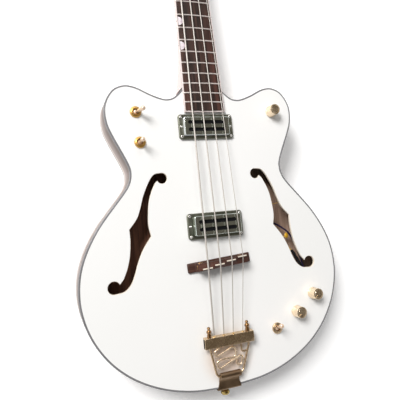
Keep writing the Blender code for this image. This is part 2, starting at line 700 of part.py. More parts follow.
def build_tuner(number, x, y):
    side = math.copysign(1, x)
    place = HEAD @ Matrix.Translation((x * MM, y * MM, 0))
    width, length, height = HOUSING_SIZE
    roof = -HEAD_THICKNESS - GAP
    housing = add("tuner_housing_%d" % number,
                  box_mesh("housing", (-width / 2, -length / 2, roof - height), (width / 2, length / 2, roof)),
                  GOLD, place)
    bevel(housing, 1.5 * MM, 1)
    well = rod_mesh("well", POST_RADIUS + GAP, (0, 0, roof - 0.7 * height), (0, 0, 5 * MM), 16)
    cut(housing, "post_well_%d" % number, well, place)
    level = roof - height / 2
    bore = rod_mesh("bore", KEY_SHAFT_RADIUS + GAP, (side * (POST_RADIUS + 3 * GAP), 0, level),
                    (side * width, 0, level), 12)
    cut(housing, "key_bore_%d" % number, bore, place)

    waist = POST_STRING_HEIGHT
    profile = [(0, POST_HEIGHT), (POST_RADIUS - 1 * MM, POST_HEIGHT), (POST_RADIUS, POST_HEIGHT - 1 * MM),
               (POST_RADIUS, waist + 6 * MM), (POST_WAIST, waist + 4 * MM), (POST_WAIST, waist - 4 * MM),
               (POST_RADIUS, waist - 6 * MM), (POST_RADIUS, roof - 0.7 * height + GAP),
               (0, roof - 0.7 * height + GAP)]
    turned("tuner_post_%d" % number, profile, GOLD, place, 12)

    key_frame = place @ Matrix.Translation((0, 0, level)) @ Matrix.Rotation(side * math.pi / 2, 4, "Y")
    start = POST_RADIUS + 4 * GAP
    collar = width / 2 + GAP
    neck_end = start + KEY_SHAFT_LENGTH
    shaft = [(0, neck_end + 4 * MM), (KEY_SHAFT_RADIUS, neck_end + 4 * MM),
             (KEY_SHAFT_RADIUS, collar + 2.5 * MM), (KEY_SHAFT_RADIUS + 1.2 * MM, collar + 2.5 * MM),
             (KEY_SHAFT_RADIUS + 1.2 * MM, collar), (KEY_SHAFT_RADIUS, collar),
             (KEY_SHAFT_RADIUS, start), (0, start)]
    key = turned("tuner_key_%d" % number, shaft, GOLD, key_frame, 8)
    paddle = plate_mesh("paddle", [paddle_outline(neck_end)], -KEY_PADDLE_THICKNESS / 2,
                        KEY_PADDLE_THICKNESS / 2)
    turn = Matrix.Rotation(math.pi / 2, 4, "X")
    blade = add("add_paddle_%d" % number, paddle, None, key_frame @ turn, cutter=True)
    bevel(blade, 1.5 * MM, 1)
    boolean(key, blade, "UNION")


def paddle_outline(start):
    """Ear-shaped outline of a tuner key, wider at its outer end."""
    right = [Vector((2.5 * MM, start)), Vector((KEY_PADDLE_WIDTH * 0.36, start + 0.15 * KEY_PADDLE_LENGTH)),
             Vector((KEY_PADDLE_WIDTH * 0.5, start + 0.5 * KEY_PADDLE_LENGTH)),
             Vector((KEY_PADDLE_WIDTH * 0.42, start + 0.86 * KEY_PADDLE_LENGTH)),
             Vector((0, start + KEY_PADDLE_LENGTH))]
    curve = spline_through(right, 2)
    return curve + [Vector((-point.x, point.y)) for point in reversed(curve[:-1])]


# Strings

def nut_x(number):
    return (number - 1.5) * STRING_SPACING_NUT


def bridge_x(number):
    return STRING_SHIFT + (number - 1.5) * STRING_SPACING_BRIDGE


def tail_x(number):
    return (number - 1.5) * STRING_SPACING_TAIL


def string_height_at_bridge():
    """Underside of the strings at the saddles."""
    return BOARD_AT_BRIDGE + STRING_LIFT_BRIDGE


def tail_entry(number):
    """Where a string meets the sloped face of the tailpiece bar."""
    level = TOP + TAIL_BAR_LIFT + TAIL_BAR_SIZE[2] / 2
    front = TAIL_EDGE + TAIL_BAR_FROM_EDGE + TAIL_BAR_SIZE[1] - TAIL_BAR_SLOPE / 2
    return Vector((tail_x(number), front + 2 * GAP, level))


def build_strings():
    for number in range(4):
        radius = STRING_DIAMETERS[number] / 2
        x_nut, x_bridge = nut_x(number), bridge_x(number)
        height = STRING_LIFT_NUT + crown(x_nut) + radius
        over_nut = [NECK @ Vector((x_nut, SCALE_LENGTH - 1 * MM, height)),
                    NECK @ Vector((x_nut, HEAD_START + 0.5 * MM, height))]
        at_bridge = Vector((x_bridge, SADDLE_STEPS[number],
                            string_height_at_bridge() + crown(x_bridge) + radius))
        post_x, post_y = POST_PLACES[number]
        inward = -math.copysign(POST_WAIST + radius + GAP, post_x)
        at_post = HEAD @ Vector((post_x * MM + inward, post_y * MM, POST_STRING_HEIGHT))
        entry = tail_entry(number)
        entry.y += radius
        name = "string_%d" % (number + 1)
        points = [entry, at_bridge, over_nut[0], over_nut[1], at_post]
        made = add(name, tube_mesh(name, points, radius, 1), STEEL)
        smooth(made)


# Pickups

def build_pickup(name, y, rise):
    frame = Matrix.Translation((0, y, TOP))
    opening = (COVER_SIZE[0] + 2 * GAP, COVER_SIZE[1] + 2 * GAP)
    ring_size = (COVER_SIZE[0] + 2 * RING_BORDER[0], COVER_SIZE[1] + 2 * RING_BORDER[1])
    outlines = [rounded_rectangle(ring_size, 4 * MM), rounded_rectangle(opening, 2.5 * MM)]
    ring = add("pickup_ring_" + name, plate_mesh("ring", outlines, GAP, RING_THICKNESS), RING_METAL, frame)
    bevel(ring, 0.8 * MM, 1)
    outer = rounded_rectangle(COVER_SIZE, 2.2 * MM)
    cover = add("pickup_cover_" + name, plate_mesh("cover", [outer], -COVER_DEPTH, rise), CHROME, frame)
    bevel(cover, 0.8 * MM, 1)
    inside = (COVER_SIZE[0] - 2 * COVER_WALL, COVER_SIZE[1] - 2 * COVER_WALL)
    hollow = plate_mesh("hollow", [rounded_rectangle(inside, 1.4 * MM)], -COVER_DEPTH - 5 * MM,
                        rise - COVER_WALL)
    cut(cover, "hollow_" + name, hollow, frame)
    for side in (-1, 1):
        slot = plate_mesh("slot", [rounded_rectangle(COVER_SLOT, 2 * MM, (0, side * COVER_SLOT_SPACING / 2))],
                          rise - 3 * COVER_WALL, rise + 5 * MM)
        cut(cover, "slot_%s_%d" % (name, side), slot, frame)
    core = (inside[0] - 2 * GAP, inside[1] - 2 * GAP)
    top = rise - COVER_WALL - GAP
    add("pickup_core_" + name, plate_mesh("core", [rounded_rectangle(core, 1 * MM)], -COVER_DEPTH, top),
        BLACK, frame)


# Bridge

def build_bridge():
    length, width, height = BRIDGE_FOOT
    half, ear = length / 2, length / 2 - BRIDGE_EAR
    low = height - BRIDGE_EAR_DROP
    side_view = [(-half, GAP), (half, GAP), (half, low - 1 * MM), (half - 2 * MM, low), (ear + 2 * MM, low),
                 (ear, height), (-ear, height), (-ear - 2 * MM, low), (-half + 2 * MM, low),
                 (-half, low - 1 * MM)]
    sections = [[(x, y, z) for x, z in side_view] for y in (-width / 2, width / 2)]
    foot = add("bridge_foot", loft_mesh("bridge_foot", sections), ROSEWOOD, BRIDGE)
    bevel(foot, 1 * MM, 1)

    bar = add("bridge_saddle", loft_mesh("bridge_saddle", saddle_sections()), ROSEWOOD, BRIDGE)
    wheel_low = height + GAP
    for name, side in (("bass", -1), ("treble", 1)):
        x = side * STUD_X
        stud = rod_mesh("stud", STUD_RADIUS, (x, 0, SADDLE_UNDERSIDE - STUD_LENGTH),
                        (x, 0, SADDLE_UNDERSIDE + 3 * MM), 12)
        join(bar, "stud_" + name, stud, BRIDGE)
        hole = rod_mesh("stud_hole", STUD_RADIUS + GAP, (x, 0, -5 * MM), (x, 0, height + 5 * MM), 12)
        cut(foot, "stud_hole_" + name, hole, BRIDGE)
        bore = STUD_RADIUS + GAP
        profile = [(bore, wheel_low + WHEEL_THICKNESS), (WHEEL_RADIUS, wheel_low + WHEEL_THICKNESS),
                   (WHEEL_RADIUS, wheel_low), (bore, wheel_low)]
        centre = BRIDGE @ Matrix.Translation((x, 0, 0))
        turned("bridge_wheel_" + name, profile, GOLD, centre, 16, closed=True)


def saddle_sections():
    """The saddle bar along its length. Its crown steps forward for each thinner string."""
    ends = SADDLE_BAR_LENGTH / 2
    turn = math.tan(BRIDGE_ANGLE)
    centres = [bridge_x(number) for number in range(4)]
    breaks = [-ends] + [(a + b) / 2 for a, b in zip(centres, centres[1:])] + [ends]
    sections = []
    for number in range(4):
        x_string = centres[number]
        crown_y = SADDLE_STEPS[number] - x_string * turn
        crest = string_height_at_bridge() - TOP - GAP
        near, far = breaks[number] + 0.3 * MM, breaks[number + 1] - 0.3 * MM
        for x in (near, x_string, far):
            z = crest + crown(x)
            half = SADDLE_BAR_WIDTH / 2
            sections.append([(x, -half, SADDLE_UNDERSIDE), (x, half, SADDLE_UNDERSIDE),
                             (x, half, SADDLE_UNDERSIDE + 4 * MM), (x, crown_y + SADDLE_CROWN / 2, z - 0.5 * MM),
                             (x, crown_y, z), (x, crown_y - SADDLE_CROWN / 2, z - 0.5 * MM),
                             (x, -half, SADDLE_UNDERSIDE + 4 * MM)])
    return sections


# Tailpiece

def build_tailpiece():
    length, width, height = TAIL_BAR_SIZE
    front = TAIL_EDGE + TAIL_BAR_FROM_EDGE + width
    rear = front - width
    low, high = TOP + TAIL_BAR_LIFT, TOP + TAIL_BAR_LIFT + height
    profile = [(rear, low), (front, low), (front - TAIL_BAR_SLOPE, high), (rear, high)]
    sections = [[(x, y, z) for y, z in profile] for x in (-length / 2, length / 2)]
    bar = add("tailpiece_bar", loft_mesh("tailpiece_bar", sections), GOLD)
    bevel(bar, 0.8 * MM, 1)
    level = low + TAIL_ROD_LEVEL
    hinge_y, hinge_z = TAIL_EDGE + TAIL_HINGE_FROM_EDGE, TOP + TAIL_HINGE_LIFT
    rod = TAIL_ROD_RADIUS
    route = []
    for side in (-1, 1):
        half = [Vector((side * TAIL_ROD_X, front + 1 * MM, level)),
                Vector((side * TAIL_ROD_X, rear - 3 * MM, level)),
                Vector((TAIL_HINGE_SHIFT + side * (TAIL_ROD_X_HINGE + 1 * MM), hinge_y + 4 * MM, hinge_z)),
                Vector((TAIL_HINGE_SHIFT + side * (TAIL_ROD_X_HINGE - 2 * MM), hinge_y, hinge_z))]
        route += half if side < 0 else half[::-1]
    frame = add("tailpiece_frame", tube_mesh("tailpiece_frame", route, rod, 1), GOLD)
    ball, stem = FINIAL_RADIUS, 0.6 * FINIAL_RADIUS
    finial = [(0, FINIAL_LENGTH), (0.45 * ball, FINIAL_LENGTH - 0.6 * MM), (0.7 * ball, FINIAL_LENGTH - 2 * MM),
              (stem * 0.8, FINIAL_LENGTH - 3.8 * MM), (ball, FINIAL_LENGTH - 6 * MM),
              (ball, FINIAL_LENGTH - 8.4 * MM), (stem, FINIAL_LENGTH - 10.4 * MM),
              (FINIAL_FOOT, 3.4 * MM), (FINIAL_FOOT, 0), (0, 0)]
    seat = front - TAIL_BAR_SLOPE
    for side in (-1, 1):
        bore = rod_mesh("rod_bore", rod + GAP, (side * TAIL_ROD_X, rear - 5 * MM, level),
                        (side * TAIL_ROD_X, front + 5 * MM, level), 12)
        cut(bar, "rod_bore_%d" % side, bore)
        well = rod_mesh("finial_seat", FINIAL_FOOT + GAP, (side * TAIL_ROD_X, seat, level),
                        (side * TAIL_ROD_X, front + 5 * MM, level), 12)
        cut(bar, "finial_seat_%d" % side, well)
        place = (Matrix.Translation((side * TAIL_ROD_X, seat + GAP, level))
                 @ Matrix.Rotation(-math.pi / 2, 4, "X"))
        boolean(frame, turned("add_finial_%d" % side, finial, None, place, 12, cutter=True), "UNION")

    def wire_place(x, back):
        share = -back * MM / (rear - hinge_y)
        return Vector((x * MM, rear + back * MM, level + (hinge_z - level) * share))

    bends = [WIRE_LOOP if index in WIRE_LOOPS else WIRE_BEND for index in range(len(WIRE_CORNERS))]
    bent = rounded_path([wire_place(*corner) for corner in WIRE_CORNERS], bends, 4)
    add("tailpiece_wire", tube_mesh("tailpiece_wire", bent, WIRE_RADIUS, 1), GOLD)
    hook = rounded_path([wire_place(*corner) for corner in HOOK_CORNERS], [WIRE_BEND] * 3, 4)
    join(frame, "hook", tube_mesh("hook", hook, WIRE_RADIUS, 1))
    build_bracket(hinge_y, hinge_z)


def build_bracket(hinge_y, hinge_z):
    """One bent strip: a curl round the hinge rod, down to the top, and over the edge of the body."""
    curl = TAIL_ROD_RADIUS + 2 * GAP + BRACKET_THICKNESS / 2
    level = TOP + GAP + BRACKET_THICKNESS / 2
    rim_y = TAIL_EDGE - GAP - BRACKET_THICKNESS / 2
    corner, fold = 3 * MM, 1.6 * MM
    path = []
    for step in range(CURL_STEPS + 1):
        angle = math.radians(-80 + 260 * step / CURL_STEPS)
        path.append((hinge_y + curl * math.cos(angle), hinge_z + curl * math.sin(angle)))
    rear = hinge_y - curl
    for step in range(4):
        angle = math.radians(90 * step / 3)
        path.append((rear - corner + corner * math.cos(angle), level + corner - corner * math.sin(angle)))
    for step in range(4):
        angle = math.radians(90 + 90 * step / 3)
        path.append((rim_y + fold + fold * math.cos(angle), level - fold + fold * math.sin(angle)))
    path.append((rim_y, TOP - BRACKET_DROP))
    shape = bmesh.new()
    rows = []
    for index, (y, z) in enumerate(path):
        half = BRACKET_HALF_WIDTH if index <= BRACKET_CORNER else BRACKET_HALF_WIDTH_RIM
        rows.append([shape.verts.new((TAIL_HINGE_SHIFT + x, y, z)) for x in (-half, half)])
    for near, far in zip(rows, rows[1:]):
        shape.faces.new((near[0], near[1], far[1], far[0]))
    mesh = bpy.data.meshes.new("tailpiece_bracket")
    shape.to_mesh(mesh)
    shape.free()
    bracket = add("tailpiece_bracket", mesh, GOLD)
    sheet = bracket.modifiers.new("sheet", "SOLIDIFY")
    sheet.thickness = BRACKET_THICKNESS
    sheet.offset = 0
    sheet.use_even_offset = True


# Controls

def build_knob(name, x, y):
    place = Matrix.Translation((*body_place(x, y), TOP))
    seat, top = KNOB_LIFT, KNOB_LIFT + KNOB_HEIGHT
    tip = -PLATE_THICKNESS - GAP - 0.6 * POT_HEIGHT
    profile = [(0, top), (KNOB_RADIUS - 2.2 * MM, top), (KNOB_RADIUS - 1 * MM, top - 0.8 * MM),
               (KNOB_RADIUS - 0.6 * MM, top - 4 * MM), (KNOB_RADIUS, seat + 1.5 * MM), (KNOB_RADIUS, seat),
               (BUSHING_RADIUS + 2 * GAP, seat), (BUSHING_RADIUS + 2 * GAP, seat + 5 * MM),
               (SHAFT_RADIUS, seat + 5 * MM), (SHAFT_RADIUS, tip), (0, tip)]
    turned("knob_" + name, profile, GOLD, place, 16)
    roof = -PLATE_THICKNESS - GAP
    floor = roof - POT_HEIGHT
    bore, well = SHAFT_RADIUS + GAP, tip - 2 * GAP
    pot = [(bore, seat + 4 * MM), (BUSHING_RADIUS, seat + 4 * MM), (BUSHING_RADIUS, roof), (POT_RADIUS, roof),
           (POT_RADIUS, floor), (0, floor)]
    turned("pot_" + name, pot + [(0, well), (bore, well)], CHROME, place, 12, closed=True)


def build_switch(name, x, y):
    throw, heading = SWITCH_TILT[name]
    place = Matrix.Translation((*body_place(x, y), TOP))
    roof = -PLATE_THICKNESS - GAP
    floor, well = roof - SWITCH_BODY_HEIGHT, -12 * MM
    top = SWITCH_NUT_HEIGHT
    body = [(SWITCH_BORE, top), (SWITCH_BUSHING, top), (SWITCH_NUT_RADIUS - 0.8 * MM, top - 0.8 * MM),
            (SWITCH_NUT_RADIUS, top - 1.8 * MM), (SWITCH_NUT_RADIUS, GAP), (SWITCH_BUSHING, GAP),
            (SWITCH_BUSHING, roof), (SWITCH_BODY_RADIUS, roof), (SWITCH_BODY_RADIUS, floor), (0, floor),
            (0, well), (SWITCH_BORE, well)]
    turned("switch_body_" + name, body, GOLD, place, 10, closed=True)
    tip, root, ball = LEVER_REACH + LEVER_PIVOT_DEPTH, -6 * MM, SWITCH_BORE - GAP
    lever = [(0, tip), (LEVER_TIP_RADIUS * 0.7, tip - 0.7 * MM), (LEVER_TIP_RADIUS, tip - 2.5 * MM),
             (LEVER_TIP_RADIUS * 0.85, tip - 5 * MM), (LEVER_RADIUS, tip - 10 * MM), (LEVER_RADIUS, ball),
             (ball * 0.7, ball * 0.7), (ball, 0), (ball * 0.7, -ball * 0.7), (LEVER_RADIUS, -ball),
             (LEVER_RADIUS, root), (0, root)]
    lean = Matrix.Rotation(math.radians(heading), 4, "Z") @ Matrix.Rotation(throw, 4, "Y")
    turned("switch_lever_" + name, lever, GOLD, place @ Matrix.Translation((0, 0, -LEVER_PIVOT_DEPTH)) @ lean,
           8)


def build_jack():
    edge = body_place(DESIGN_WIDTH / 2, JACK_ROW)
    place = Matrix.Translation((edge.x, edge.y, TOP / 2)) @ Matrix.Rotation(math.pi / 2, 4, "Y")
    depth, outside = -26 * MM, GAP + 2.5 * MM
    profile = [(JACK_BORE, outside), (JACK_FLANGE - 1 * MM, outside), (JACK_FLANGE, outside - 1 * MM),
               (JACK_FLANGE, GAP), (JACK_BARREL, GAP), (JACK_BARREL, depth), (0, depth),
               (0, depth + 1.5 * MM), (JACK_BORE, depth + 1.5 * MM)]
    turned("output_jack", profile, CHROME, place, 14, closed=True)


def build_strap_buttons():
    long, wide, foot = STRAP_BUTTON_LENGTH, STRAP_BUTTON_RADIUS, STRAP_BUTTON_FOOT
    profile = [(0, long), (2.5 * MM, long), (wide - 1 * MM, long - 1.2 * MM), (wide, long - 2.6 * MM),
               (4.2 * MM, long - 5.5 * MM), (4.2 * MM, 3.2 * MM), (foot, 1.2 * MM), (foot, 0), (0, 0)]
    tail = Matrix.Translation((0, TAIL_EDGE - 2 * GAP - BRACKET_THICKNESS, TOP / 2))
    turned("strap_button_tail", profile, GOLD, tail @ Matrix.Rotation(math.pi / 2, 4, "X"), 12)
    seat = heel_side(HEEL_LINE + STRAP_BUTTON_TO_JOINT - foot, STRAP_BUTTON_LEVEL + foot) + GAP
    heel = Matrix.Translation((seat, HEEL_LINE + STRAP_BUTTON_TO_JOINT, STRAP_BUTTON_LEVEL))
    turned("strap_button_heel", profile, GOLD, heel @ Matrix.Rotation(math.pi / 2, 4, "Y"), 12)


def main():
    build_body()
    build_neck()
    build_fretboard()
    build_head_fittings()
    for number, (x, y) in enumerate(POST_PLACES, 1):
        build_tuner(number, x, y)
    build_strings()
    for name, (y, rise) in pickup_places().items():
        build_pickup(name, y, rise)
    build_bridge()
    build_tailpiece()
    for name, (x, y) in KNOB_PLACES.items():
        build_knob(name, x, y)
    for name, (x, y) in SWITCH_PLACES.items():
        build_switch(name, x, y)
    build_jack()
    build_strap_buttons()


main()
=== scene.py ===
import json
from math import atan, copysign, cos, pi, radians, sin, tan

import bmesh
import bpy
from mathutils import Matrix, Vector
from mathutils.geometry import tessellate_polygon


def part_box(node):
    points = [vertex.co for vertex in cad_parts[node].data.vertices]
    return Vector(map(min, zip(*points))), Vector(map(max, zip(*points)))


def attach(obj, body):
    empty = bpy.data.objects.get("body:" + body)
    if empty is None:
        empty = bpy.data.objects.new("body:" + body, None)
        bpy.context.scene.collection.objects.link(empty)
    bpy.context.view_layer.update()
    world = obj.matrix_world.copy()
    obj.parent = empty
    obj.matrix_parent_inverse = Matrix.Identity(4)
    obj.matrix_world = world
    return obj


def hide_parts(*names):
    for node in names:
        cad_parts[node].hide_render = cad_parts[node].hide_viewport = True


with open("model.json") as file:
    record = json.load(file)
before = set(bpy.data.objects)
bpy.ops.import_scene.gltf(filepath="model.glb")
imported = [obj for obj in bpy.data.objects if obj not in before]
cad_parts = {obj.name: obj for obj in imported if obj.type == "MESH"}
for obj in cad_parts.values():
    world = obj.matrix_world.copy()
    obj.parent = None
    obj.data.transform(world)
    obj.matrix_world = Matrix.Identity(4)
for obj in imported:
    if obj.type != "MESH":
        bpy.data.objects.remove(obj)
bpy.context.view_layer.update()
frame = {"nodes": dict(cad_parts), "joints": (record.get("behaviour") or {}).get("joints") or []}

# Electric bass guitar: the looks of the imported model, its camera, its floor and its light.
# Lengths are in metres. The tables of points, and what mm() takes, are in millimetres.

NODES = frame["nodes"]
JOINTS = {joint["name"]: joint for joint in frame["joints"]}
MM = 0.001


def mm(lift, *points, shift=0.0):
    """Pairs in metres from pairs in millimetres, such as the radii and heights of a profile."""
    return [(shift + x * MM, lift + y * MM) for x, y in points]


def at(x, y=0.0, z=0.0):
    return Matrix.Translation((x, y, z))


def spin(axis, angle):
    return Matrix.Rotation(angle, 4, axis)


# Driving dimensions of the bass, as built
SCALE_LENGTH = 864 * MM
NECK_ANGLE, HEAD_ANGLE, BRIDGE_ANGLE = radians(2.86), radians(8), radians(3.8)
FRET_COUNT = 22
FRET_WIDTH, FRET_HEIGHT = 2 * MM, 1.1 * MM
BOARD_RADIUS, BOARD_THICKNESS, BOARD_RISE = 305 * MM, 6 * MM, 7.4 * MM
BODY_BINDING, BOARD_BINDING = 2.6 * MM, 1.7 * MM
NECK_WIDTH_NUT, NECK_WIDTH_END = 39 * MM, 65 * MM
NECK_DEPTH_NUT, NECK_DEPTH_HEEL, HEEL_CLEARANCE = 15 * MM, 18.5 * MM, 5 * MM
NUT_LENGTH, HEAD_THICKNESS = 5 * MM, 14 * MM
GAP = 0.3 * MM                                          # clearance between pieces
HEAD_OUTLINE = [(19.5, -1), (21, 9), (28, 24), (36, 40), (40.5, 58), (41, 84), (42, 112),
                (46, 142), (50, 164), (45, 180), (32, 186), (14, 183), (0, 178)]
POST_PLACES = [(-28, 46), (-29, 112), (29, 112), (28, 46)]
POST_RADIUS, POST_WAIST, POST_STRING_HEIGHT = 6 * MM, 5 * MM, 9 * MM
STRING_RADII = [diameter * MM / 2 for diameter in (2.7, 2.2, 1.7, 1.2)]
STRING_LIFT_NUT, STRING_LIFT_BRIDGE = 1.7 * MM, 5.2 * MM
NUT_SPACING, TAIL_SPACING, BRIDGE_SPACING, BRIDGE_SHIFT = 10 * MM, 14.7 * MM, 18.4 * MM, 2 * MM
SADDLE_STEPS = [-4.6 * MM, -0.8 * MM, 3.0 * MM, 6.8 * MM]
COVER_WALL = 1.2 * MM
KNOBS = ("horn", "upper", "lower")
SWITCHES = (("horn", 18, 0), ("waist", 0, 0), ("lower", 18, 110))   # throw and heading in degrees

# Places taken from the frame
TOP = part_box("body_top")[1].z
TAIL_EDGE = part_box("body_rim")[0].y
RIM_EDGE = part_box("body_rim")[1].x
HORN_REACH = 2.5 * MM                                   # of the horns, past the neck joint
HEEL_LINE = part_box("body_rim")[1].y - HORN_REACH
NECK_START = (HEEL_LINE + GAP) / cos(NECK_ANGLE)        # along the neck, like the next four
BOARD_STEP = NECK_START + BOARD_THICKNESS * tan(NECK_ANGLE)
BOARD_END = SCALE_LENGTH * 2 ** (-(FRET_COUNT + 1) / 12)
HEAD_START = SCALE_LENGTH + NUT_LENGTH
BOARD_AT_BRIDGE = TOP + BOARD_RISE + tan(NECK_ANGLE) * BOARD_END
SADDLE_CREST = BOARD_AT_BRIDGE + STRING_LIFT_BRIDGE - TOP - GAP
NECK = at(0, 0, BOARD_AT_BRIDGE) @ spin("X", -NECK_ANGLE)
HEAD = NECK @ at(0, HEAD_START, -BOARD_THICKNESS - GAP) @ spin("X", -HEAD_ANGLE)
BRIDGE = at(0, 0, TOP) @ spin("Z", BRIDGE_ANGLE)
JACK_LOW, JACK_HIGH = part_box("output_jack")
JACK_PLACE = at(RIM_EDGE, *((JACK_LOW + JACK_HIGH) / 2).yz) @ spin("Y", pi / 2)


# Materials

ALONG_Y, ALONG_X = (1, 0.035, 1), (0.035, 1, 1)
BLACK_TO_WHITE = (0.45, (0, 0, 0)), (0.75, (1, 1, 1))
BLACK_TO_GREY = (0.2, (0, 0, 0)), (0.8, (0.5, 0.5, 0.5))


def feed(socket, value):
    """Link another node's output to the socket, or set its value."""
    if isinstance(value, bpy.types.NodeSocket):
        socket.id_data.links.new(value, socket)
    else:
        socket.default_value = value


def add_node(tree, kind, inputs, **settings):
    """A new shader node. Its inputs are given by name or by number."""
    made = tree.nodes.new("ShaderNode" + kind)
    for setting, value in settings.items():
        setattr(made, setting, value)
    for socket, value in inputs.items():
        feed(made.inputs[socket], value)
    return made


def map_range(tree, value, start, end, low=0, high=1, kind="SMOOTHSTEP"):
    inputs = {0: value, 1: start, 2: end, 3: low, 4: high}
    return add_node(tree, "MapRange", inputs, interpolation_type=kind).outputs[0]


class Finish:
    """A Principled material with a short way to add nodes to it."""

    def __init__(self, name, slot, colour, roughness, metallic=0.0, coat=0.0, specular=0.5):
        self.slot = slot
        self.material = bpy.data.materials.new(name)
        self.material.use_nodes = True
        self.tree = self.material.node_tree
        self.inputs = self.tree.nodes["Principled BSDF"].inputs
        values = {"Base Color": (*colour, 1), "Roughness": roughness, "Metallic": metallic,
                  "Coat Weight": coat, "Coat Roughness": 0.04, "Specular IOR Level": specular}
        for socket, value in values.items():
            feed(self.inputs[socket], value)
        self.place = self.node("TexCoord").outputs["Object"]

    def node(self, kind, **inputs):
        return add_node(self.tree, kind, inputs)

    def noise(self, scale, detail=3.0, stretch=None):
        vector = self.place
        if stretch is not None:
            vector = self.node("Mapping", Vector=vector, Scale=stretch).outputs[0]
        return self.node("TexNoise", Vector=vector, Scale=scale, Detail=detail).outputs["Fac"]

    def axis(self, name):
        return self.node("SeparateXYZ", Vector=self.place).outputs[name]

    def distance(self, centre):
        inputs = {0: self.place, 1: centre}
        return add_node(self.tree, "VectorMath", inputs, operation="DISTANCE").outputs["Value"]

    def ramp(self, factor, *stops):
        made = self.node("ValToRGB", Fac=factor)
        elements = made.color_ramp.elements
        for index, (position, colour) in enumerate(stops):
            element = elements[index] if index < 2 else elements.new(position)
            element.position = position
            element.color = (*colour, 1)
        return made.outputs["Color"]

    def fade(self, value, start, end):
        """Nothing at the start and all at the end, smoothly."""
        return map_range(self.tree, value, start, end)

    def blend(self, factor, *pair):
        """The pair's first colour where the factor is nothing, and its second where it is all."""
        inputs = {0: factor}
        for socket, value in zip((6, 7), pair):
            inputs[socket] = value if isinstance(value, bpy.types.NodeSocket) else (*value, 1)
        return add_node(self.tree, "Mix", inputs, data_type="RGBA").outputs[2]

    def colour(self, socket):
        feed(self.inputs["Base Color"], socket)

    def rough(self, factor, low, high):
        feed(self.inputs["Roughness"], map_range(self.tree, factor, 0.3, 0.7, low, high, "LINEAR"))

    def bump(self, height, distance, strength=1.0):
        made = self.node("Bump", Height=height, Distance=distance, Strength=strength)
        before = self.inputs["Normal"].links
        if before:
            feed(made.inputs["Normal"], before[0].from_socket)
        feed(self.inputs["Normal"], made.outputs[0])


# Painted shade and gold reflection on the white top round the tailpiece: its tint, and the
# distances where it is gone and where it is full
PAINTED_GOLD_REFLECTION_TINT, PAINTED_GOLD_REFLECTION_REACH = (0.76, 0.64, 0.55), (48 * MM, 12 * MM)
# Painted shade, darkest near the flank's top edge, and painted bounce light from the floor, palest
# near its back edge
PAINTED_SHADE_TINT, PAINTED_SHADE_REACH = (0.14, 0.095, 0.08), (TOP - 36 * MM, TOP - 10 * MM)
PAINTED_FLOOR_LIGHT_TINT, PAINTED_FLOOR_LIGHT_REACH = (0.84, 0.76, 0.73), (17 * MM, 4 * MM)


def lacquer(name, dark, light, coat, painted_reflection_spot=None, shaded=False, specular=0.5):
    """Glossy lacquer, with painted shade and gold reflection round the given spot. Shaded, it has
    painted floor bounce light, pale at the back, and painted shade, dark near the top edge.
    """
    finish = Finish(name, "white_lacquer", light, 0.32, coat=coat, specular=specular)
    colour = finish.ramp(finish.noise(4, 2), (0.3, dark), (0.7, light))
    if painted_reflection_spot is not None:
        # Painted shade and gold reflection, fading out away from the spot
        painted_reflection = finish.fade(finish.distance(painted_reflection_spot), *PAINTED_GOLD_REFLECTION_REACH)
        colour = finish.blend(painted_reflection, colour, PAINTED_GOLD_REFLECTION_TINT)
    if shaded:
        height = finish.axis("Z")
        # Painted shade towards the top edge, then painted floor bounce light towards the back edge
        for tint, reach in ((PAINTED_SHADE_TINT, PAINTED_SHADE_REACH), (PAINTED_FLOOR_LIGHT_TINT, PAINTED_FLOOR_LIGHT_REACH)):
            colour = finish.blend(finish.fade(height, *reach), colour, tint)
    finish.colour(colour)
    finish.rough(finish.noise(30), 0.28, 0.36)
    finish.bump(finish.noise(260, 2), 0.01 * MM, 0.6)
    return finish


def grey_edge():
    finish = Finish("grey_binding", "grey_binding", (0.1, 0.1, 0.1), 0.35, coat=0.3)
    finish.colour(finish.ramp(finish.noise(60), (0.3, (0.15, 0.148, 0.155)),
                              (0.7, (0.21, 0.207, 0.215))))
    finish.bump(finish.noise(900), 0.01 * MM)
    return finish


def wood(name, dark, light, patch, roughness, along):
    """Straight-grained wood: fine streaks and pores, stretched by the vector along."""
    finish = Finish(name, "rosewood", light, roughness, specular=0.25)
    streak, pores = finish.noise(320, 6, along), finish.noise(1400, 3, along)
    patches = finish.ramp(finish.noise(26, 4, along), *BLACK_TO_WHITE)
    finish.colour(finish.blend(patches, finish.ramp(streak, (0.34, dark), (0.66, light)), patch))
    finish.rough(pores, roughness - 0.08, roughness + 0.12)
    finish.bump(pores, 0.06 * MM, 0.6)
    finish.bump(streak, 0.05 * MM, 0.5)
    return finish


def painted_light_halves(name, bass, treble, roughness):
    """Wood of two halves that meet at the centre line, each with two colours of its grain; the
    halves differ as painted light.
    """
    finish = Finish(name, "rosewood", treble[1], roughness)
    streak = finish.noise(320, 6, ALONG_Y)
    halves = [finish.ramp(streak, (0.34, dark), (0.66, light)) for dark, light in (bass, treble)]
    finish.colour(finish.blend(finish.fade(finish.axis("X"), -0.4 * MM, 0.4 * MM), *halves))
    finish.rough(streak, roughness - 0.08, roughness + 0.1)
    finish.bump(streak, 0.05 * MM, 0.5)
    return finish


def plastic(name, dark, light, roughness, coat=0.3, specular=0.5, slot="black_plastic"):
    finish = Finish(name, slot, light, roughness, coat=coat, specular=specular)
    finish.colour(finish.ramp(finish.noise(90), (0.3, dark), (0.7, light)))
    finish.rough(finish.noise(220), roughness - 0.05, roughness + 0.06)
    finish.bump(finish.noise(1200), 0.01 * MM)
    return finish


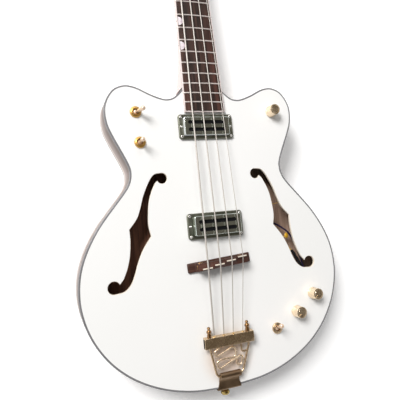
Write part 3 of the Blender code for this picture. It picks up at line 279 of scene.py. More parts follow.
def metal(name, dark, light, roughness, brushed=None, metallic=1.0, slot="gold_plate"):
    """Plated metal with faint cloudiness; brushed is the stretch of its polishing marks."""
    finish = Finish(name, slot, light, roughness, metallic)
    finish.colour(finish.ramp(finish.noise(45, 4), (0.3, dark), (0.7, light)))
    finish.rough(finish.noise(130, 4), roughness * 0.75, roughness * 1.35)
    if brushed is not None:
        finish.bump(finish.noise(1500, 3, brushed), 0.004 * MM)
    return finish


def wound_string():
    """Flat steel tape wound round a core: fine rings across the string."""
    finish = Finish("wound_steel", "steel", (0.6, 0.6, 0.6), 0.45, 0.4)
    rings = add_node(finish.tree, "TexWave", {"Vector": finish.place, "Scale": 260},
                     wave_type="BANDS", bands_direction="Y").outputs["Fac"]
    finish.colour(finish.ramp(rings, (0.1, (0.36, 0.33, 0.3)), (0.6, (0.55, 0.51, 0.47))))
    finish.bump(rings, 0.04 * MM, 0.5)
    return finish


def pearl():
    finish = Finish("pearl", "bone", (0.8, 0.76, 0.8), 0.22, coat=0.8)
    cells = finish.node("TexVoronoi", Vector=finish.place, Scale=190).outputs["Color"]
    patches = finish.ramp(finish.node("SeparateColor", Color=cells).outputs["Red"], *BLACK_TO_GREY)
    swirl = finish.noise(120, 5)
    tint = finish.ramp(swirl, (0.3, (0.42, 0.36, 0.41)), (0.5, (0.6, 0.52, 0.56)),
                       (0.7, (0.48, 0.5, 0.52)))
    finish.colour(finish.blend(patches, tint, (0.66, 0.57, 0.61)))
    finish.bump(swirl, 0.03 * MM, 0.4)
    return finish


# The white top, with painted shade and gold reflection round the tailpiece
WHITE = lacquer("white_lacquer", (0.885, 0.885, 0.87), (0.91, 0.905, 0.895), 0.7,
                painted_reflection_spot=(0, TAIL_EDGE + 42 * MM, TOP))
# The side's white lacquer, painted a darker pinkish grey as painted shade
FLANK_PAINTED_SHADE = lacquer("flank_painted_shade_lacquer", (0.37, 0.295, 0.265), (0.43, 0.35, 0.32), 0.0, shaded=True,
                      specular=0.15)
# The neck's white lacquer, painted darker and pinker as painted shade
NECK_PAINTED_SHADE = lacquer("neck_painted_shade_lacquer", (0.72, 0.63, 0.605), (0.78, 0.69, 0.665), 0.4)
GREY = grey_edge()
INSIDE = wood("inner_wood", (0.11, 0.052, 0.03), (0.26, 0.14, 0.085), (0.2, 0.095, 0.055), 0.7,
              ALONG_Y)
# Inside of the back: the treble half painted lighter than the bass half, as painted light
BACK_PAINTED_LIGHT_WOOD = painted_light_halves("back_painted_light_wood", ((0.17, 0.068, 0.038), (0.36, 0.155, 0.09)),
                          ((0.36, 0.225, 0.16), (0.58, 0.4, 0.3)), 0.7)
ROSEWOOD = wood("rosewood", (0.012, 0.0075, 0.006), (0.062, 0.031, 0.023), (0.15, 0.045, 0.03),
                0.5, ALONG_Y)
BRIDGE_WOOD = wood("bridge_rosewood", (0.035, 0.014, 0.01), (0.085, 0.038, 0.027),
                   (0.17, 0.065, 0.045), 0.4, ALONG_X)
PLY = wood("ply_edge", (0.78, 0.68, 0.55), (0.92, 0.86, 0.76), (0.84, 0.74, 0.62), 0.6,
           (0.05, 0.05, 1))
CREAM = plastic("cream_binding", (0.7, 0.6, 0.58), (0.8, 0.7, 0.675), 0.3)
BONE = plastic("bone", (0.72, 0.62, 0.5), (0.84, 0.77, 0.66), 0.35, slot="bone")
BLACK = plastic("black_plastic", (0.012, 0.012, 0.013), (0.02, 0.02, 0.021), 0.3)
# Black of the pickup cores, also used as painted shade in the tailpiece bar's ends
CORE_AND_PAINTED_SHADE_BLACK = plastic("core_and_painted_shade_black", (0.004, 0.004, 0.005), (0.008, 0.008, 0.009), 0.6, 0.0, 0.08)
ORANGE = plastic("capacitor_orange", (0.8, 0.42, 0.03), (0.92, 0.56, 0.05), 0.35)
NAVY = plastic("navy_sleeve", (0.018, 0.012, 0.045), (0.035, 0.022, 0.07), 0.3)
GOLD = metal("gold_plate", (0.8, 0.58, 0.3), (0.9, 0.69, 0.39), 0.2)
PALE_GOLD = metal("pale_gold_plate", (0.86, 0.7, 0.5), (0.92, 0.76, 0.56), 0.24)
WIRE_GOLD = metal("wire_gold_plate", (0.74, 0.58, 0.42), (0.84, 0.68, 0.5), 0.24)
# The rods' gold plate, painted darker than the rest as painted shade
ROD_PAINTED_SHADE_GOLD = metal("rod_painted_shade_gold", (0.44, 0.32, 0.2), (0.6, 0.45, 0.3), 0.24)
BAR_GOLD = metal("bar_gold_plate", (0.66, 0.5, 0.33), (0.7, 0.53, 0.35), 0.24)
# The bracket's gold plate, painted nearly brown-black as painted shade and dark reflection
BRACKET_PAINTED_SHADE_GOLD = metal("bracket_painted_shade_gold", (0.21, 0.14, 0.085), (0.25, 0.17, 0.105), 0.36)
BUTTON_GOLD = metal("button_gold_plate", (0.42, 0.31, 0.11), (0.58, 0.44, 0.19), 0.18)
TOGGLE_GOLD = metal("toggle_gold_plate", (0.62, 0.36, 0.1), (0.72, 0.44, 0.15), 0.3)
LEVER_GOLD = metal("lever_gold_plate", (0.76, 0.58, 0.43), (0.84, 0.67, 0.52), 0.3, metallic=0.55)
# Gold plate of the finials and thumbwheels, painted dark brown as painted shade and dark reflection
DARK_PAINTED_SHADE_GOLD = metal("dark_painted_shade_gold", (0.24, 0.13, 0.055), (0.36, 0.21, 0.1), 0.18)
BRASS = metal("lead_brass", (0.78, 0.5, 0.16), (0.9, 0.62, 0.26), 0.4, metallic=0.3)
CHROME = metal("smoky_chrome", (0.53, 0.58, 0.54), (0.65, 0.7, 0.65), 0.15, slot="chrome")
# Pale walls for the neck pickup's cover: painted highlight for the bright reflection on its sides
PAINTED_HIGHLIGHT_METAL = metal("painted_highlight_metal", (0.8, 0.82, 0.84), (0.88, 0.9, 0.92), 0.35, metallic=0.25)
RING = metal("ring_metal", (0.15, 0.155, 0.12), (0.22, 0.225, 0.18), 0.38, ALONG_X,
             slot="ring_metal")
STEEL = metal("plain_steel", (0.6, 0.6, 0.6), (0.72, 0.71, 0.7), 0.2, slot="steel")
NICKEL = metal("screw_nickel", (0.72, 0.7, 0.68), (0.84, 0.82, 0.79), 0.2, slot="steel")
FRET_NICKEL = metal("fret_nickel", (0.72, 0.64, 0.61), (0.82, 0.74, 0.7), 0.3, ALONG_X, 0.4,
                    "steel")
WOUND = wound_string()
PEARL = pearl()


# Shapes

def add_object(name, data):
    made = bpy.data.objects.new(name, data)
    bpy.context.scene.collection.objects.link(made)
    return made


def new_mesh(shape, smooth_angle=35):
    bmesh.ops.recalc_face_normals(shape, faces=shape.faces)
    mesh = bpy.data.meshes.new("shape")
    shape.to_mesh(mesh)
    shape.free()
    mesh.shade_smooth()
    mesh.set_sharp_from_angle(angle=radians(smooth_angle))
    return mesh


def piece(name, mesh, finishes, *replaced, body="root", place=None):
    """Put a mesh into the scene as a piece of the object, for the CAD nodes that it replaces."""
    if place is not None:
        mesh.transform(place)
    made = add_object(name, mesh)
    mesh.name = name
    finishes = finishes if isinstance(finishes, list) else [finishes]
    for finish in finishes:
        mesh.materials.append(finish.material)
    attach(made, body)
    if replaced:
        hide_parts(*replaced)


def joined(meshes):
    """One mesh out of several, all in the same frame."""
    shape = bmesh.new()
    for mesh in meshes:
        shape.from_mesh(mesh)
        bpy.data.meshes.remove(mesh)
    return new_mesh(shape)


def moved(mesh, place):
    mesh.transform(place)
    return mesh


def copies(mesh, places):
    """One mesh holding a copy at each place."""
    made = joined([moved(mesh.copy(), place) for place in places])
    bpy.data.meshes.remove(mesh)
    return made


def lathe(profile, steps=48, ridges=0, ridge_depth=0.0, ridged=()):
    """A turned mesh from radius and height pairs. Ridges run down the points named in ridged."""
    shape = bmesh.new()
    rings = []
    for index, (radius, height) in enumerate(profile):
        ring = []
        for step in range(steps if radius else 1):
            angle = 2 * pi * step / steps
            depth = ridge_depth * (0.5 - 0.5 * cos(ridges * angle)) if index in ridged else 0
            reach = radius - depth
            ring.append(shape.verts.new((reach * cos(angle), reach * sin(angle), height)))
        rings.append(ring)
    pairs = list(zip(rings, rings[1:]))
    if len(rings[0]) > 1 and len(rings[-1]) > 1:
        pairs.append((rings[-1], rings[0]))
    for near, far in pairs:
        for i in range(steps):
            after = (i + 1) % steps
            corners = [near[i % len(near)], near[after % len(near)], far[after % len(far)],
                       far[i % len(far)]]
            distinct = list(dict.fromkeys(corners))
            if len(distinct) > 2:
                shape.faces.new(distinct)
    return new_mesh(shape)


def round_off(shape, width, segments=3):
    bmesh.ops.bevel(shape, geom=shape.edges[:], offset=width, segments=segments, profile=0.5,
                    affect="EDGES")


def loft(sections, smooth_angle=35, rounding=0.0):
    """A solid through sections of equal length, capped at both ends."""
    shape = bmesh.new()
    rings = [[shape.verts.new(point) for point in section] for section in sections]
    for near, far in zip(rings, rings[1:]):
        for i in range(len(near)):
            after = (i + 1) % len(near)
            shape.faces.new((near[i], near[after], far[after], far[i]))
    shape.faces.new(rings[0])
    shape.faces.new(rings[-1])
    if rounding:
        round_off(shape, rounding)
    return new_mesh(shape, smooth_angle)


def circle(radius, centre=(0, 0), sides=48):
    return [Vector((centre[0] + radius * cos(2 * pi * i / sides),
                    centre[1] + radius * sin(2 * pi * i / sides))) for i in range(sides)]


def wire(path, radius, sides=12):
    """A round wire along a path."""
    sections = []
    for before, point, after in zip(path[:1] + path, path, path[1:] + path[-1:]):
        ahead = (after - before).normalized()
        side = ahead.cross(Vector((0, 0, 1)))
        side = side.normalized() if side.length > 1e-6 else Vector((1, 0, 0))
        up = side.cross(ahead)
        sections.append([point + side * across + up * rise for across, rise in
                         circle(radius, sides=sides)])
    return loft(sections)


def edge_rounding(radius, steps=3):
    """Inset and drop pairs of a rounded edge, from the flat face to the wall."""
    angles = [pi / 2 * i / steps for i in range(steps + 1)] if radius else [0]
    return [(radius * (1 - sin(angle)), radius * (1 - cos(angle))) for angle in angles]


def inset_loop(loop, inset):
    """The loop moved by the inset to its left: inwards when it runs counterclockwise."""
    made = []
    for i, point in enumerate(loop):
        along = (loop[(i + 1) % len(loop)] - loop[i - 1]).normalized()
        made.append(point + Vector((-along.y, along.x)) * inset)
    return made


def turned_left(loop):
    area = sum(a.x * b.y - b.x * a.y for a, b in zip(loop, loop[1:] + loop[:1]))
    return loop[:] if area > 0 else loop[::-1]


def plate(outer, holes, low, high, edge=0.0, low_edge=0.0, hole_edge=0.0, faces=(0, 0, 0)):
    """A plate with holes and rounded edges. faces: the finish of its top, walls and underside."""
    shape = bmesh.new()
    tops, bottoms = [], []
    for number, loop in enumerate([outer] + holes):
        around = turned_left(loop)[::-1 if number else 1]
        upper, lower = (hole_edge, hole_edge) if number else (edge, low_edge)
        levels = [(inset, high - drop) for inset, drop in edge_rounding(upper)]
        levels += [(inset, low + drop) for inset, drop in reversed(edge_rounding(lower))]
        rings = [[shape.verts.new((*point, level)) for point in inset_loop(around, inset)]
                 for inset, level in levels]
        for near, far in zip(rings, rings[1:]):
            for i in range(len(around)):
                after = (i + 1) % len(around)
                wall = shape.faces.new((near[i], far[i], far[after], near[after]))
                wall.material_index = faces[1]
        tops.append(rings[0])
        bottoms.append(rings[-1])
    for rings, finish in ((tops, faces[0]), (bottoms, faces[2])):
        flat = [vert for ring in rings for vert in ring]
        for triangle in tessellate_polygon([[vert.co for vert in ring] for ring in rings]):
            a, b, c = (flat[i] for i in triangle)
            if (b.co - a.co).cross(c.co - a.co).length > 1e-14:
                shape.faces.new((a, b, c)).material_index = finish
    mesh = new_mesh(shape)
    for face in mesh.polygons:
        face.use_smooth = abs(face.normal.z) < 0.999
    return mesh


def box_mesh(low, high, rounding=0.0, segments=3):
    shape = bmesh.new()
    size, middle = Vector(high) - Vector(low), (Vector(high) + Vector(low)) / 2
    bmesh.ops.create_cube(shape, size=1, matrix=at(*middle) @ Matrix.Diagonal((*size, 1)))
    if rounding:
        round_off(shape, rounding, segments)
    return new_mesh(shape, 50)


def block(x, y, low, high, rounding=0.0, segments=3):
    """A box that reaches x and y to either side of the axis."""
    return box_mesh((-x, -y, low), (x, y, high), rounding, segments)


def cross(reach, wide, low, high):
    """The two bars that cut a cross recess."""
    return [block(reach, wide, low, high), block(wide, reach, low, high)]


def carved(mesh, cutters, operation="DIFFERENCE"):
    """The mesh after its Booleans, with the cutters used up."""
    holder = add_object("carved", mesh)
    tools = [add_object("tool", cutter) for cutter in cutters]
    for tool in tools:
        made = holder.modifiers.new("tool", "BOOLEAN")
        made.operation, made.solver, made.object = operation, "EXACT", tool
    bpy.context.view_layer.update()
    evaluated = holder.evaluated_get(bpy.context.evaluated_depsgraph_get())
    result = bpy.data.meshes.new_from_object(evaluated)
    result.materials.clear()
    for used in [holder] + tools:
        bpy.data.objects.remove(used, do_unlink=True)
    result.set_sharp_from_angle(angle=radians(35))
    return result


def smooth_curve(points, per_span=8, closed=False):
    """Catmull-Rom curve through the points."""
    knots = [Vector(point) for point in points]
    if closed:
        knots = [knots[-1]] + knots + knots[:2]
    else:
        knots = [2 * knots[0] - knots[1]] + knots + [2 * knots[-1] - knots[-2]]
    path = []
    for a, b, c, d in zip(knots, knots[1:], knots[2:], knots[3:]):
        for step in range(per_span):
            t = step / per_span
            path.append(0.5 * (2 * b + (c - a) * t + (2 * a - 5 * b + 4 * c - d) * t ** 2
                               + (3 * b - a - 3 * c + d) * t ** 3))
    return path if closed else path + [knots[-2]]


def rounded_path(corners, radii, steps=8):
    """Straight runs between the corners, with an arc of its radius at each inner corner."""
    path = [corners[0]]
    for before, corner, after, radius in zip(corners, corners[1:], corners[2:], radii):
        back, ahead = (before - corner).normalized(), (after - corner).normalized()
        half = back.angle(ahead) / 2
        centre = corner + (back + ahead).normalized() * radius / sin(half)
        reach = radius / tan(half)
        start, end = corner + back * reach - centre, corner + ahead * reach - centre
        for step in range(steps + 1):
            spoke = start.slerp(end, step / steps)
            path.append(centre + spoke * radius / spoke.length)
    return path + [corners[-1]]


def rounded_rectangle(length, width, corner, centre=(0, 0), per_corner=6):
    points = []
    for quarter, (sx, sy) in enumerate([(1, 1), (-1, 1), (-1, -1), (1, -1)]):
        middle = Vector((centre[0] + sx * (length / 2 - corner),
                         centre[1] + sy * (width / 2 - corner)))
        for step in range(per_corner + 1):
            angle = pi / 2 * (quarter + step / per_corner)
            points.append(middle + corner * Vector((cos(angle), sin(angle))))
    return points


def mirrored(half):
    """The outline of both halves, from the right one."""
    return half + [Vector((-point.x, point.y)) for point in reversed(half[:-1])]


def level_loops(name, level):
    """Edges of a node's flat face at a level, as loops. The one furthest towards +X is first."""
    mesh = NODES[name].data
    edges = set()
    for face in mesh.polygons:
        corners = [mesh.vertices[i].co for i in face.vertices]
        if all(abs(corner.z - level) < 0.01 * MM for corner in corners):
            keys = [(round(corner.x, 6), round(corner.y, 6)) for corner in corners]
            edges.update(zip(keys, keys[1:] + keys[:1]))
    following = {near: far for near, far in edges if (far, near) not in edges}
    loops = []
    while following:
        loop, here = [], next(iter(following))
        while here in following:
            loop.append(Vector(here))
            here = following.pop(here)
        loops.append(loop)
    return sorted(loops, key=lambda loop: max(point.x for point in loop), reverse=True)


def dressed(name, finish, rounding=0.0):
    """Give a CAD node its finish, welded so that its round faces shade smoothly."""
    node = NODES[name]
    node.data.materials.clear()
    node.data.materials.append(finish.material)
    node.modifiers.new("weld", "WELD").merge_threshold = 0.01 * MM
    if rounding:
        bevel = node.modifiers.new("round", "BEVEL")
        bevel.width, bevel.segments = rounding, 2
        bevel.limit_method, bevel.angle_limit = "ANGLE", radians(40)
    node.modifiers.new("smooth", "NODES").node_group = SMOOTH_GROUP


def smooth_by_angle(angle):
    """Geometry nodes that shade a mesh smooth, up to an angle between its faces."""
    group = bpy.data.node_groups.new("smooth_by_angle", "GeometryNodeTree")
    for way in ("INPUT", "OUTPUT"):
        group.interface.new_socket("Geometry", in_out=way, socket_type="NodeSocketGeometry")
    start, end = group.nodes.new("NodeGroupInput"), group.nodes.new("NodeGroupOutput")
    compare = group.nodes.new("FunctionNodeCompare")
    compare.operation = "LESS_EQUAL"
    compare.inputs[1].default_value = angle
    edge_angle = group.nodes.new("GeometryNodeInputMeshEdgeAngle")
    faces, edges = (group.nodes.new("GeometryNodeSetShadeSmooth") for _ in range(2))
    faces.domain, edges.domain = "FACE", "EDGE"
    for output, socket in ((edge_angle.outputs["Unsigned Angle"], compare.inputs[0]),
                           (compare.outputs[0], edges.inputs["Shade Smooth"]),
                           (start.outputs[0], faces.inputs["Geometry"]),
                           (faces.outputs[0], edges.inputs["Geometry"]),
                           (edges.outputs[0], end.inputs[0])):
        group.links.new(output, socket)
    return group


SMOOTH_GROUP = smooth_by_angle(radians(35))


# Body

# Edges of the treble f-hole from the neck joint, cut at their notches, and its two eyes
F_INNER = [[(85.5, -143), (91, -153.5), (96.5, -169), (99.5, -189), (100, -204), (97.5, -218)],
           [(97.5, -218), (110, -235), (118.5, -252), (124.5, -268.5), (130.8, -281),
            (140.5, -289.2)]]
F_OUTER = [[(140, -272), (134, -258.5), (129.5, -242), (127.3, -222), (127.5, -206)],
           [(127.5, -206), (116, -192), (110, -178), (104.5, -161), (98, -147), (91, -135.2),
            (84.8, -130)]]
F_LOWER_EYE, F_UPPER_EYE = (154, -282.2, 8.7), (75, -136.6, 7.8)
KNOB_HOLE, SWITCH_HOLE = 4.9 * MM, 6.1 * MM             # radii
SEAM = 0.02 * MM                                        # between a plate and its binding


def eye_arc(eye, start, end, steps=28):
    angles = [radians(start + (end - start) * step / steps) for step in range(steps + 1)]
    return [Vector((eye[0] + eye[2] * cos(a), eye[1] + eye[2] * sin(a))) for a in angles]


def f_hole(side):
    """The first edge on each side ends at a notch, and the second runs smoothly into its eye."""
    path = []
    for (first, second), eye in ((F_INNER, eye_arc(F_LOWER_EYE, 262, 518)),
                                 (F_OUTER, eye_arc(F_UPPER_EYE, 80, 335))):
        path += smooth_curve(first, 6)[:-1] + smooth_curve(second + eye[:1], 6)[:-1] + eye
    return [Vector((side * point.x * MM, HEEL_LINE + point.y * MM)) for point in path]


def build_body():
    top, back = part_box("body_top"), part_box("body_back")
    outer = smooth_curve(turned_left(level_loops("top_binding", TOP)[0]), 4, closed=True)
    seam, inner_seam = (inset_loop(outer, BODY_BINDING + gap) for gap in (0, SEAM))
    holes = [f_hole(1), f_hole(-1)]
    for name in ("neck", "bridge"):
        low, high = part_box("pickup_cover_" + name)
        holes.append(rounded_rectangle(high.x - low.x + 4 * GAP, high.y - low.y + 4 * GAP, 3 * MM,
                                       (0, (high.y + low.y) / 2)))
    holes += [circle(KNOB_HOLE, JOINTS[f"knob_{name}_turn"]["pos_m"]) for name in KNOBS]
    holes += [circle(SWITCH_HOLE, JOINTS[f"switch_{name}_tilt"]["pos_m"]) for name, *_ in SWITCHES]
    mesh = plate(inner_seam, holes, top[0].z, TOP, hole_edge=0.5 * MM, faces=(0, 1, 2))
    piece("body_top_shell", mesh, [WHITE, PLY, INSIDE], "body_top")
    mesh = plate(inner_seam, [], back[0].z, back[1].z, faces=(1, 0, 0))
    piece("body_back_shell", mesh, [WHITE, BACK_PAINTED_LIGHT_WOOD], "body_back")
    for name, (low, high), edges in (("top", top, (0.8 * MM, 0)), ("back", back, (0, 0.8 * MM))):
        ring = plate(outer, [seam], low.z, high.z, *edges)
        piece(name + "_edge_binding", ring, GREY, name + "_binding")
    rim_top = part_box("body_rim")[1].z
    inner_edge = max(point.x for point in level_loops("body_rim", rim_top)[1])
    wall = inset_loop(outer, RIM_EDGE - inner_edge)
    mesh = plate(outer, [wall], back[1].z, top[0].z, faces=(1, 0, 1))
    window = box_mesh((-16.3 * MM, HEEL_LINE - 20 * MM, 13.7 * MM),
                      (16.3 * MM, HEEL_LINE + 5 * MM, TOP - 5.7 * MM))
    socket = moved(lathe(mm(0, (0, -20), (5, -20), (5, 20), (0, 20))), JACK_PLACE)
    mesh = carved(mesh, [window, socket])
    mark_inside(mesh, wall)
    piece("body_side_shell", mesh, [FLANK_PAINTED_SHADE, INSIDE], "body_rim")
    for name in ("neck_block", "tail_block", "tone_bar_bass", "tone_bar_treble"):
        dressed(name, INSIDE)


def mark_inside(mesh, wall):
    """Give the faces of the side's inner wall the raw wood."""
    near = {(round(point.x, 4), round(point.y, 4)) for point in wall}
    for face in mesh.polygons:
        corners = [mesh.vertices[i].co for i in face.vertices]
        face.material_index = all((round(corner.x, 4), round(corner.y, 4)) in near
                                  for corner in corners)


CAPACITOR_PLACE = (134.4, 27, 22)
# Name, finish, radius and points of each lead that shows through the treble f-hole
LEADS = [("pickup_lead", NAVY, 1.4,
          [(30, 70, 16), (80, 60, 20), (108, 51, 24), (119.2, 45.4, 24), (127.8, 39.5, 24),
           (137.2, 31.4, 24), (147, 15, 22), (158, -20, 22), (160, -52, 28), (155, -68, 33)]),
         ("pot_lead", BLACK, 2.3,
          [(139.6, 2.2, 21.3), (143.3, -1.1, 22), (147.8, -9.8, 22), (152.4, -18.4, 22),
           (155.5, -28, 23), (155, -48, 28), (151, -66, 32)]),
         ("sleeve", BRASS, 2, [(135, 8.6, 20.6), (137.5, 5.6, 21), (140, 2.6, 21.4)]),
         ("capacitor_legs", BRASS, 0.6,
          [(124, 28, 19), (129.5, 26, 21.4), CAPACITOR_PLACE, (140, 30, 20.5), (146, 34, 17)]),
         ("ground_wire", BRASS, 0.7,
          [(40, 76, 12), (90, 77.5, 18), (112.8, 79.8, 20), (122.4, 81.2, 20), (150, 84, 14)])]


def build_wiring():
    for name, finish, radius, points in LEADS:
        path = smooth_curve([Vector(point) * MM for point in points])
        piece("wiring_" + name, wire(path, radius * MM), finish)
    rim = [(4.6 * sin(a), 1.7 * cos(a)) for a in (0.4, 0.8, 1.2, 1.57, 1.94, 2.34, 2.74)]
    disc = lathe(mm(0, (0, 1.7), *rim, (0, -1.7)), 28)
    place = at(*Vector(CAPACITOR_PLACE) * MM) @ spin("Y", 0.4)
    piece("wiring_capacitor", disc, ORANGE, place=place)


# Neck

def fret_place(number):
    return SCALE_LENGTH * 2 ** (-number / 12)


def inlay_place(number):
    return (fret_place(number) + fret_place(number - 1)) / 2


def neck_half(along):
    """Half width of the neck, by distance from the bridge line."""
    share = (SCALE_LENGTH - along) / (SCALE_LENGTH - BOARD_END)
    return (NECK_WIDTH_NUT + (NECK_WIDTH_END - NECK_WIDTH_NUT) * share) / 2


def height_at(along, world_z):
    """Height over the board surface, in the neck's frame, of a level in the world."""
    return (world_z - BOARD_AT_BRIDGE + along * sin(NECK_ANGLE)) / cos(NECK_ANGLE)


def crown(x):
    return -x * x / (2 * BOARD_RADIUS)


def board_section(along, points=16):
    half = neck_half(along) - BOARD_BINDING - GAP / 2
    floor = height_at(along, TOP + GAP) if along < BOARD_STEP + GAP / 2 else -BOARD_THICKNESS
    arc = [half * (2 * i / points - 1) for i in range(points + 1)]
    return [(x, along, crown(x)) for x in arc] + [(half, along, floor), (-half, along, floor)]


def fret_mesh(number):
    """A crowned wire across the board, with its ends filed down over the binding."""
    along = fret_place(number)
    half = neck_half(along) - 0.6 * MM
    stations = [(half, 0.1), (half - 0.35 * MM, 0.62), (half - 0.8 * MM, 0.94)]
    stations += [(half * share, 1) for share in (0.94, 0.7, 0.45, 0.2)]
    stations = [(-x, rise) for x, rise in stations] + stations[::-1]
    sections = []
    for x, rise in stations:
        arc = [(FRET_WIDTH / 2 * cos(pi * i / 8), FRET_HEIGHT * rise * sin(pi * i / 8))
               for i in range(9)]
        arc += [(-FRET_WIDTH / 2, -0.3 * MM), (FRET_WIDTH / 2, -0.3 * MM)]
        sections.append([(x, along + across, crown(x) + height) for across, height in arc])
    return loft(sections, 50)


# Fret and side of each inlay
INLAYS = [(3, -1), (5, -1), (7, -1), (9, -1), (12, -1), (12, 1), (15, -1), (17, -1)]
INLAY_DEPTH, INLAY_LENGTH = 7.5 * MM, 14 * MM


def inlay_mesh(number, side):
    """A half-round of pearl with its straight side along the binding."""
    along = inlay_place(number)
    edge = neck_half(along) - BOARD_BINDING - GAP
    arc = [(side * (edge - INLAY_DEPTH * sin(pi * i / 24)), INLAY_LENGTH / 2 * cos(pi * i / 24))
           for i in range(25)]
    return loft([[(x, along + y, crown(x) + height) for x, y in arc]
                 for height in (0.07 * MM, -0.7 * MM)])


def build_fretboard():
    stations = [BOARD_END + GAP, BOARD_STEP, BOARD_STEP + GAP, SCALE_LENGTH]
    board = loft([board_section(along) for along in stations], 30)
    piece("fretboard_wood", board, ROSEWOOD, "fretboard", place=NECK)
    frets = joined([fret_mesh(number) for number in range(1, FRET_COUNT + 1)])
    piece("fret_wires", frets, FRET_NICKEL, place=NECK)
    piece("pearl_inlays", joined([inlay_mesh(*inlay) for inlay in INLAYS]), PEARL, place=NECK)
    dressed("fretboard_binding", CREAM, 0.4 * MM)
    dots = []
    for along in (inlay_place(number) for number, side in INLAYS if side < 0):
        disc = lathe(mm(0, (0, 0.08), (1, 0.06), (1, -0.3), (0, -0.3)), 20)
        dots.append(moved(disc, at(-neck_half(along), along, -2.6 * MM) @ spin("Y", -pi / 2)))
    piece("side_dots", joined(dots), BLACK, place=NECK)


def neck_section(along, depth, fullness, upright=0.0, top=-BOARD_THICKNESS - GAP, sides=40):
    """D-shaped section under the board. Fullness 2 is round and 6 is nearly square."""
    section = []
    for i in range(sides + 1):
        angle = pi * i / sides
        x = neck_half(along) * copysign(abs(cos(angle)) ** (2 / fullness), cos(angle))
        h = top - depth * sin(angle) ** (2 / fullness)
        section.append((x, along - upright * h * tan(NECK_ANGLE), h))
    return section


def neck_mesh():
    depth = -height_at(HEEL_LINE, HEEL_CLEARANCE) - BOARD_THICKNESS - GAP
    grow = depth - NECK_DEPTH_HEEL
    shoulder = [(16, -0.04, 4, 0.6), (30, -0.18, 2.8, 0.3), (43, -0.4, 2.3, 0),
                (56, -0.67, 2.1, 0), (70, -0.88, 2, 0), (90, -1, 2, 0)]
    stations = [(NECK_START, depth, 7, 1)]
    stations += [(HEEL_LINE + x * MM, depth + share * grow, fullness, upright)
                 for x, share, fullness, upright in shoulder]
    middle = (HEEL_LINE + SCALE_LENGTH) / 2
    stations += [(middle, (NECK_DEPTH_NUT + NECK_DEPTH_HEEL) / 2, 2.05, 0),
                 (SCALE_LENGTH - 30 * MM, NECK_DEPTH_NUT, 2.2, 0),
                 (HEAD_START, NECK_DEPTH_NUT, 2.5, 0)]
    sections = [neck_section(*station) for station in smooth_curve(stations, 5)]
    dip = 16 * MM * tan(HEAD_ANGLE)
    sections.append(neck_section(HEAD_START + 16 * MM, NECK_DEPTH_NUT - dip, 4,
                                 top=-BOARD_THICKNESS - 2 * GAP - dip))
    return moved(loft(sections, 30), NECK)


def build_neck():
    outline = mirrored(smooth_curve(mm(0, *HEAD_OUTLINE), 6))
    holes = [circle(POST_RADIUS + GAP, post, 40) for post in mm(0, *POST_PLACES)]
    head = moved(plate(outline, holes, -HEAD_THICKNESS, 0, 1.2 * MM, 2.5 * MM), HEAD)
    tenon = box_mesh((-16 * MM, HEEL_LINE - 20 * MM, 14 * MM),
                     (16 * MM, HEEL_LINE + 5 * MM, TOP - 6 * MM))
    shaft = carved(neck_mesh(), [head, tenon], "UNION")
    channel = box_mesh((-3.3 * MM, HEEL_LINE + 84.4 * MM, -BOARD_THICKNESS - 9.6 * MM),
                       (3.3 * MM, HEAD_START + 22 * MM, -BOARD_THICKNESS + 5 * MM))
    piece("neck_wood", carved(shaft, [moved(channel, NECK)]), NECK_PAINTED_SHADE, "neck")
    dressed("truss_rod", STEEL)
    dressed("truss_rod_cover", BLACK, 0.3 * MM)
    places = [HEAD @ at(x, y, 2.3 * MM) for x, y in mm(0, (0, 28.5), (-6.5, 7), (6.5, 7))]
    piece("truss_rod_cover_screws", copies(screw_head(2, 1), places), STEEL)
    dressed("nut", BONE, 0.2 * MM)


def screw_head(radius, height, angle=0.6):
    """A domed screw head with a cross recess, its seat at height zero. Sizes in millimetres."""
    dome = [(0, 1), (0.45, 0.93), (0.8, 0.66), (0.97, 0.25), (1, 0)]
    profile = [(radius * x, height * y) for x, y in dome] + [(radius, -0.3), (0, -0.3)]
    recess = cross(0.62 * radius * MM, 0.14 * radius * MM, 0.35 * height * MM, (height + 1) * MM)
    return moved(carved(lathe(mm(0, *profile), 28), recess), spin("Z", angle))


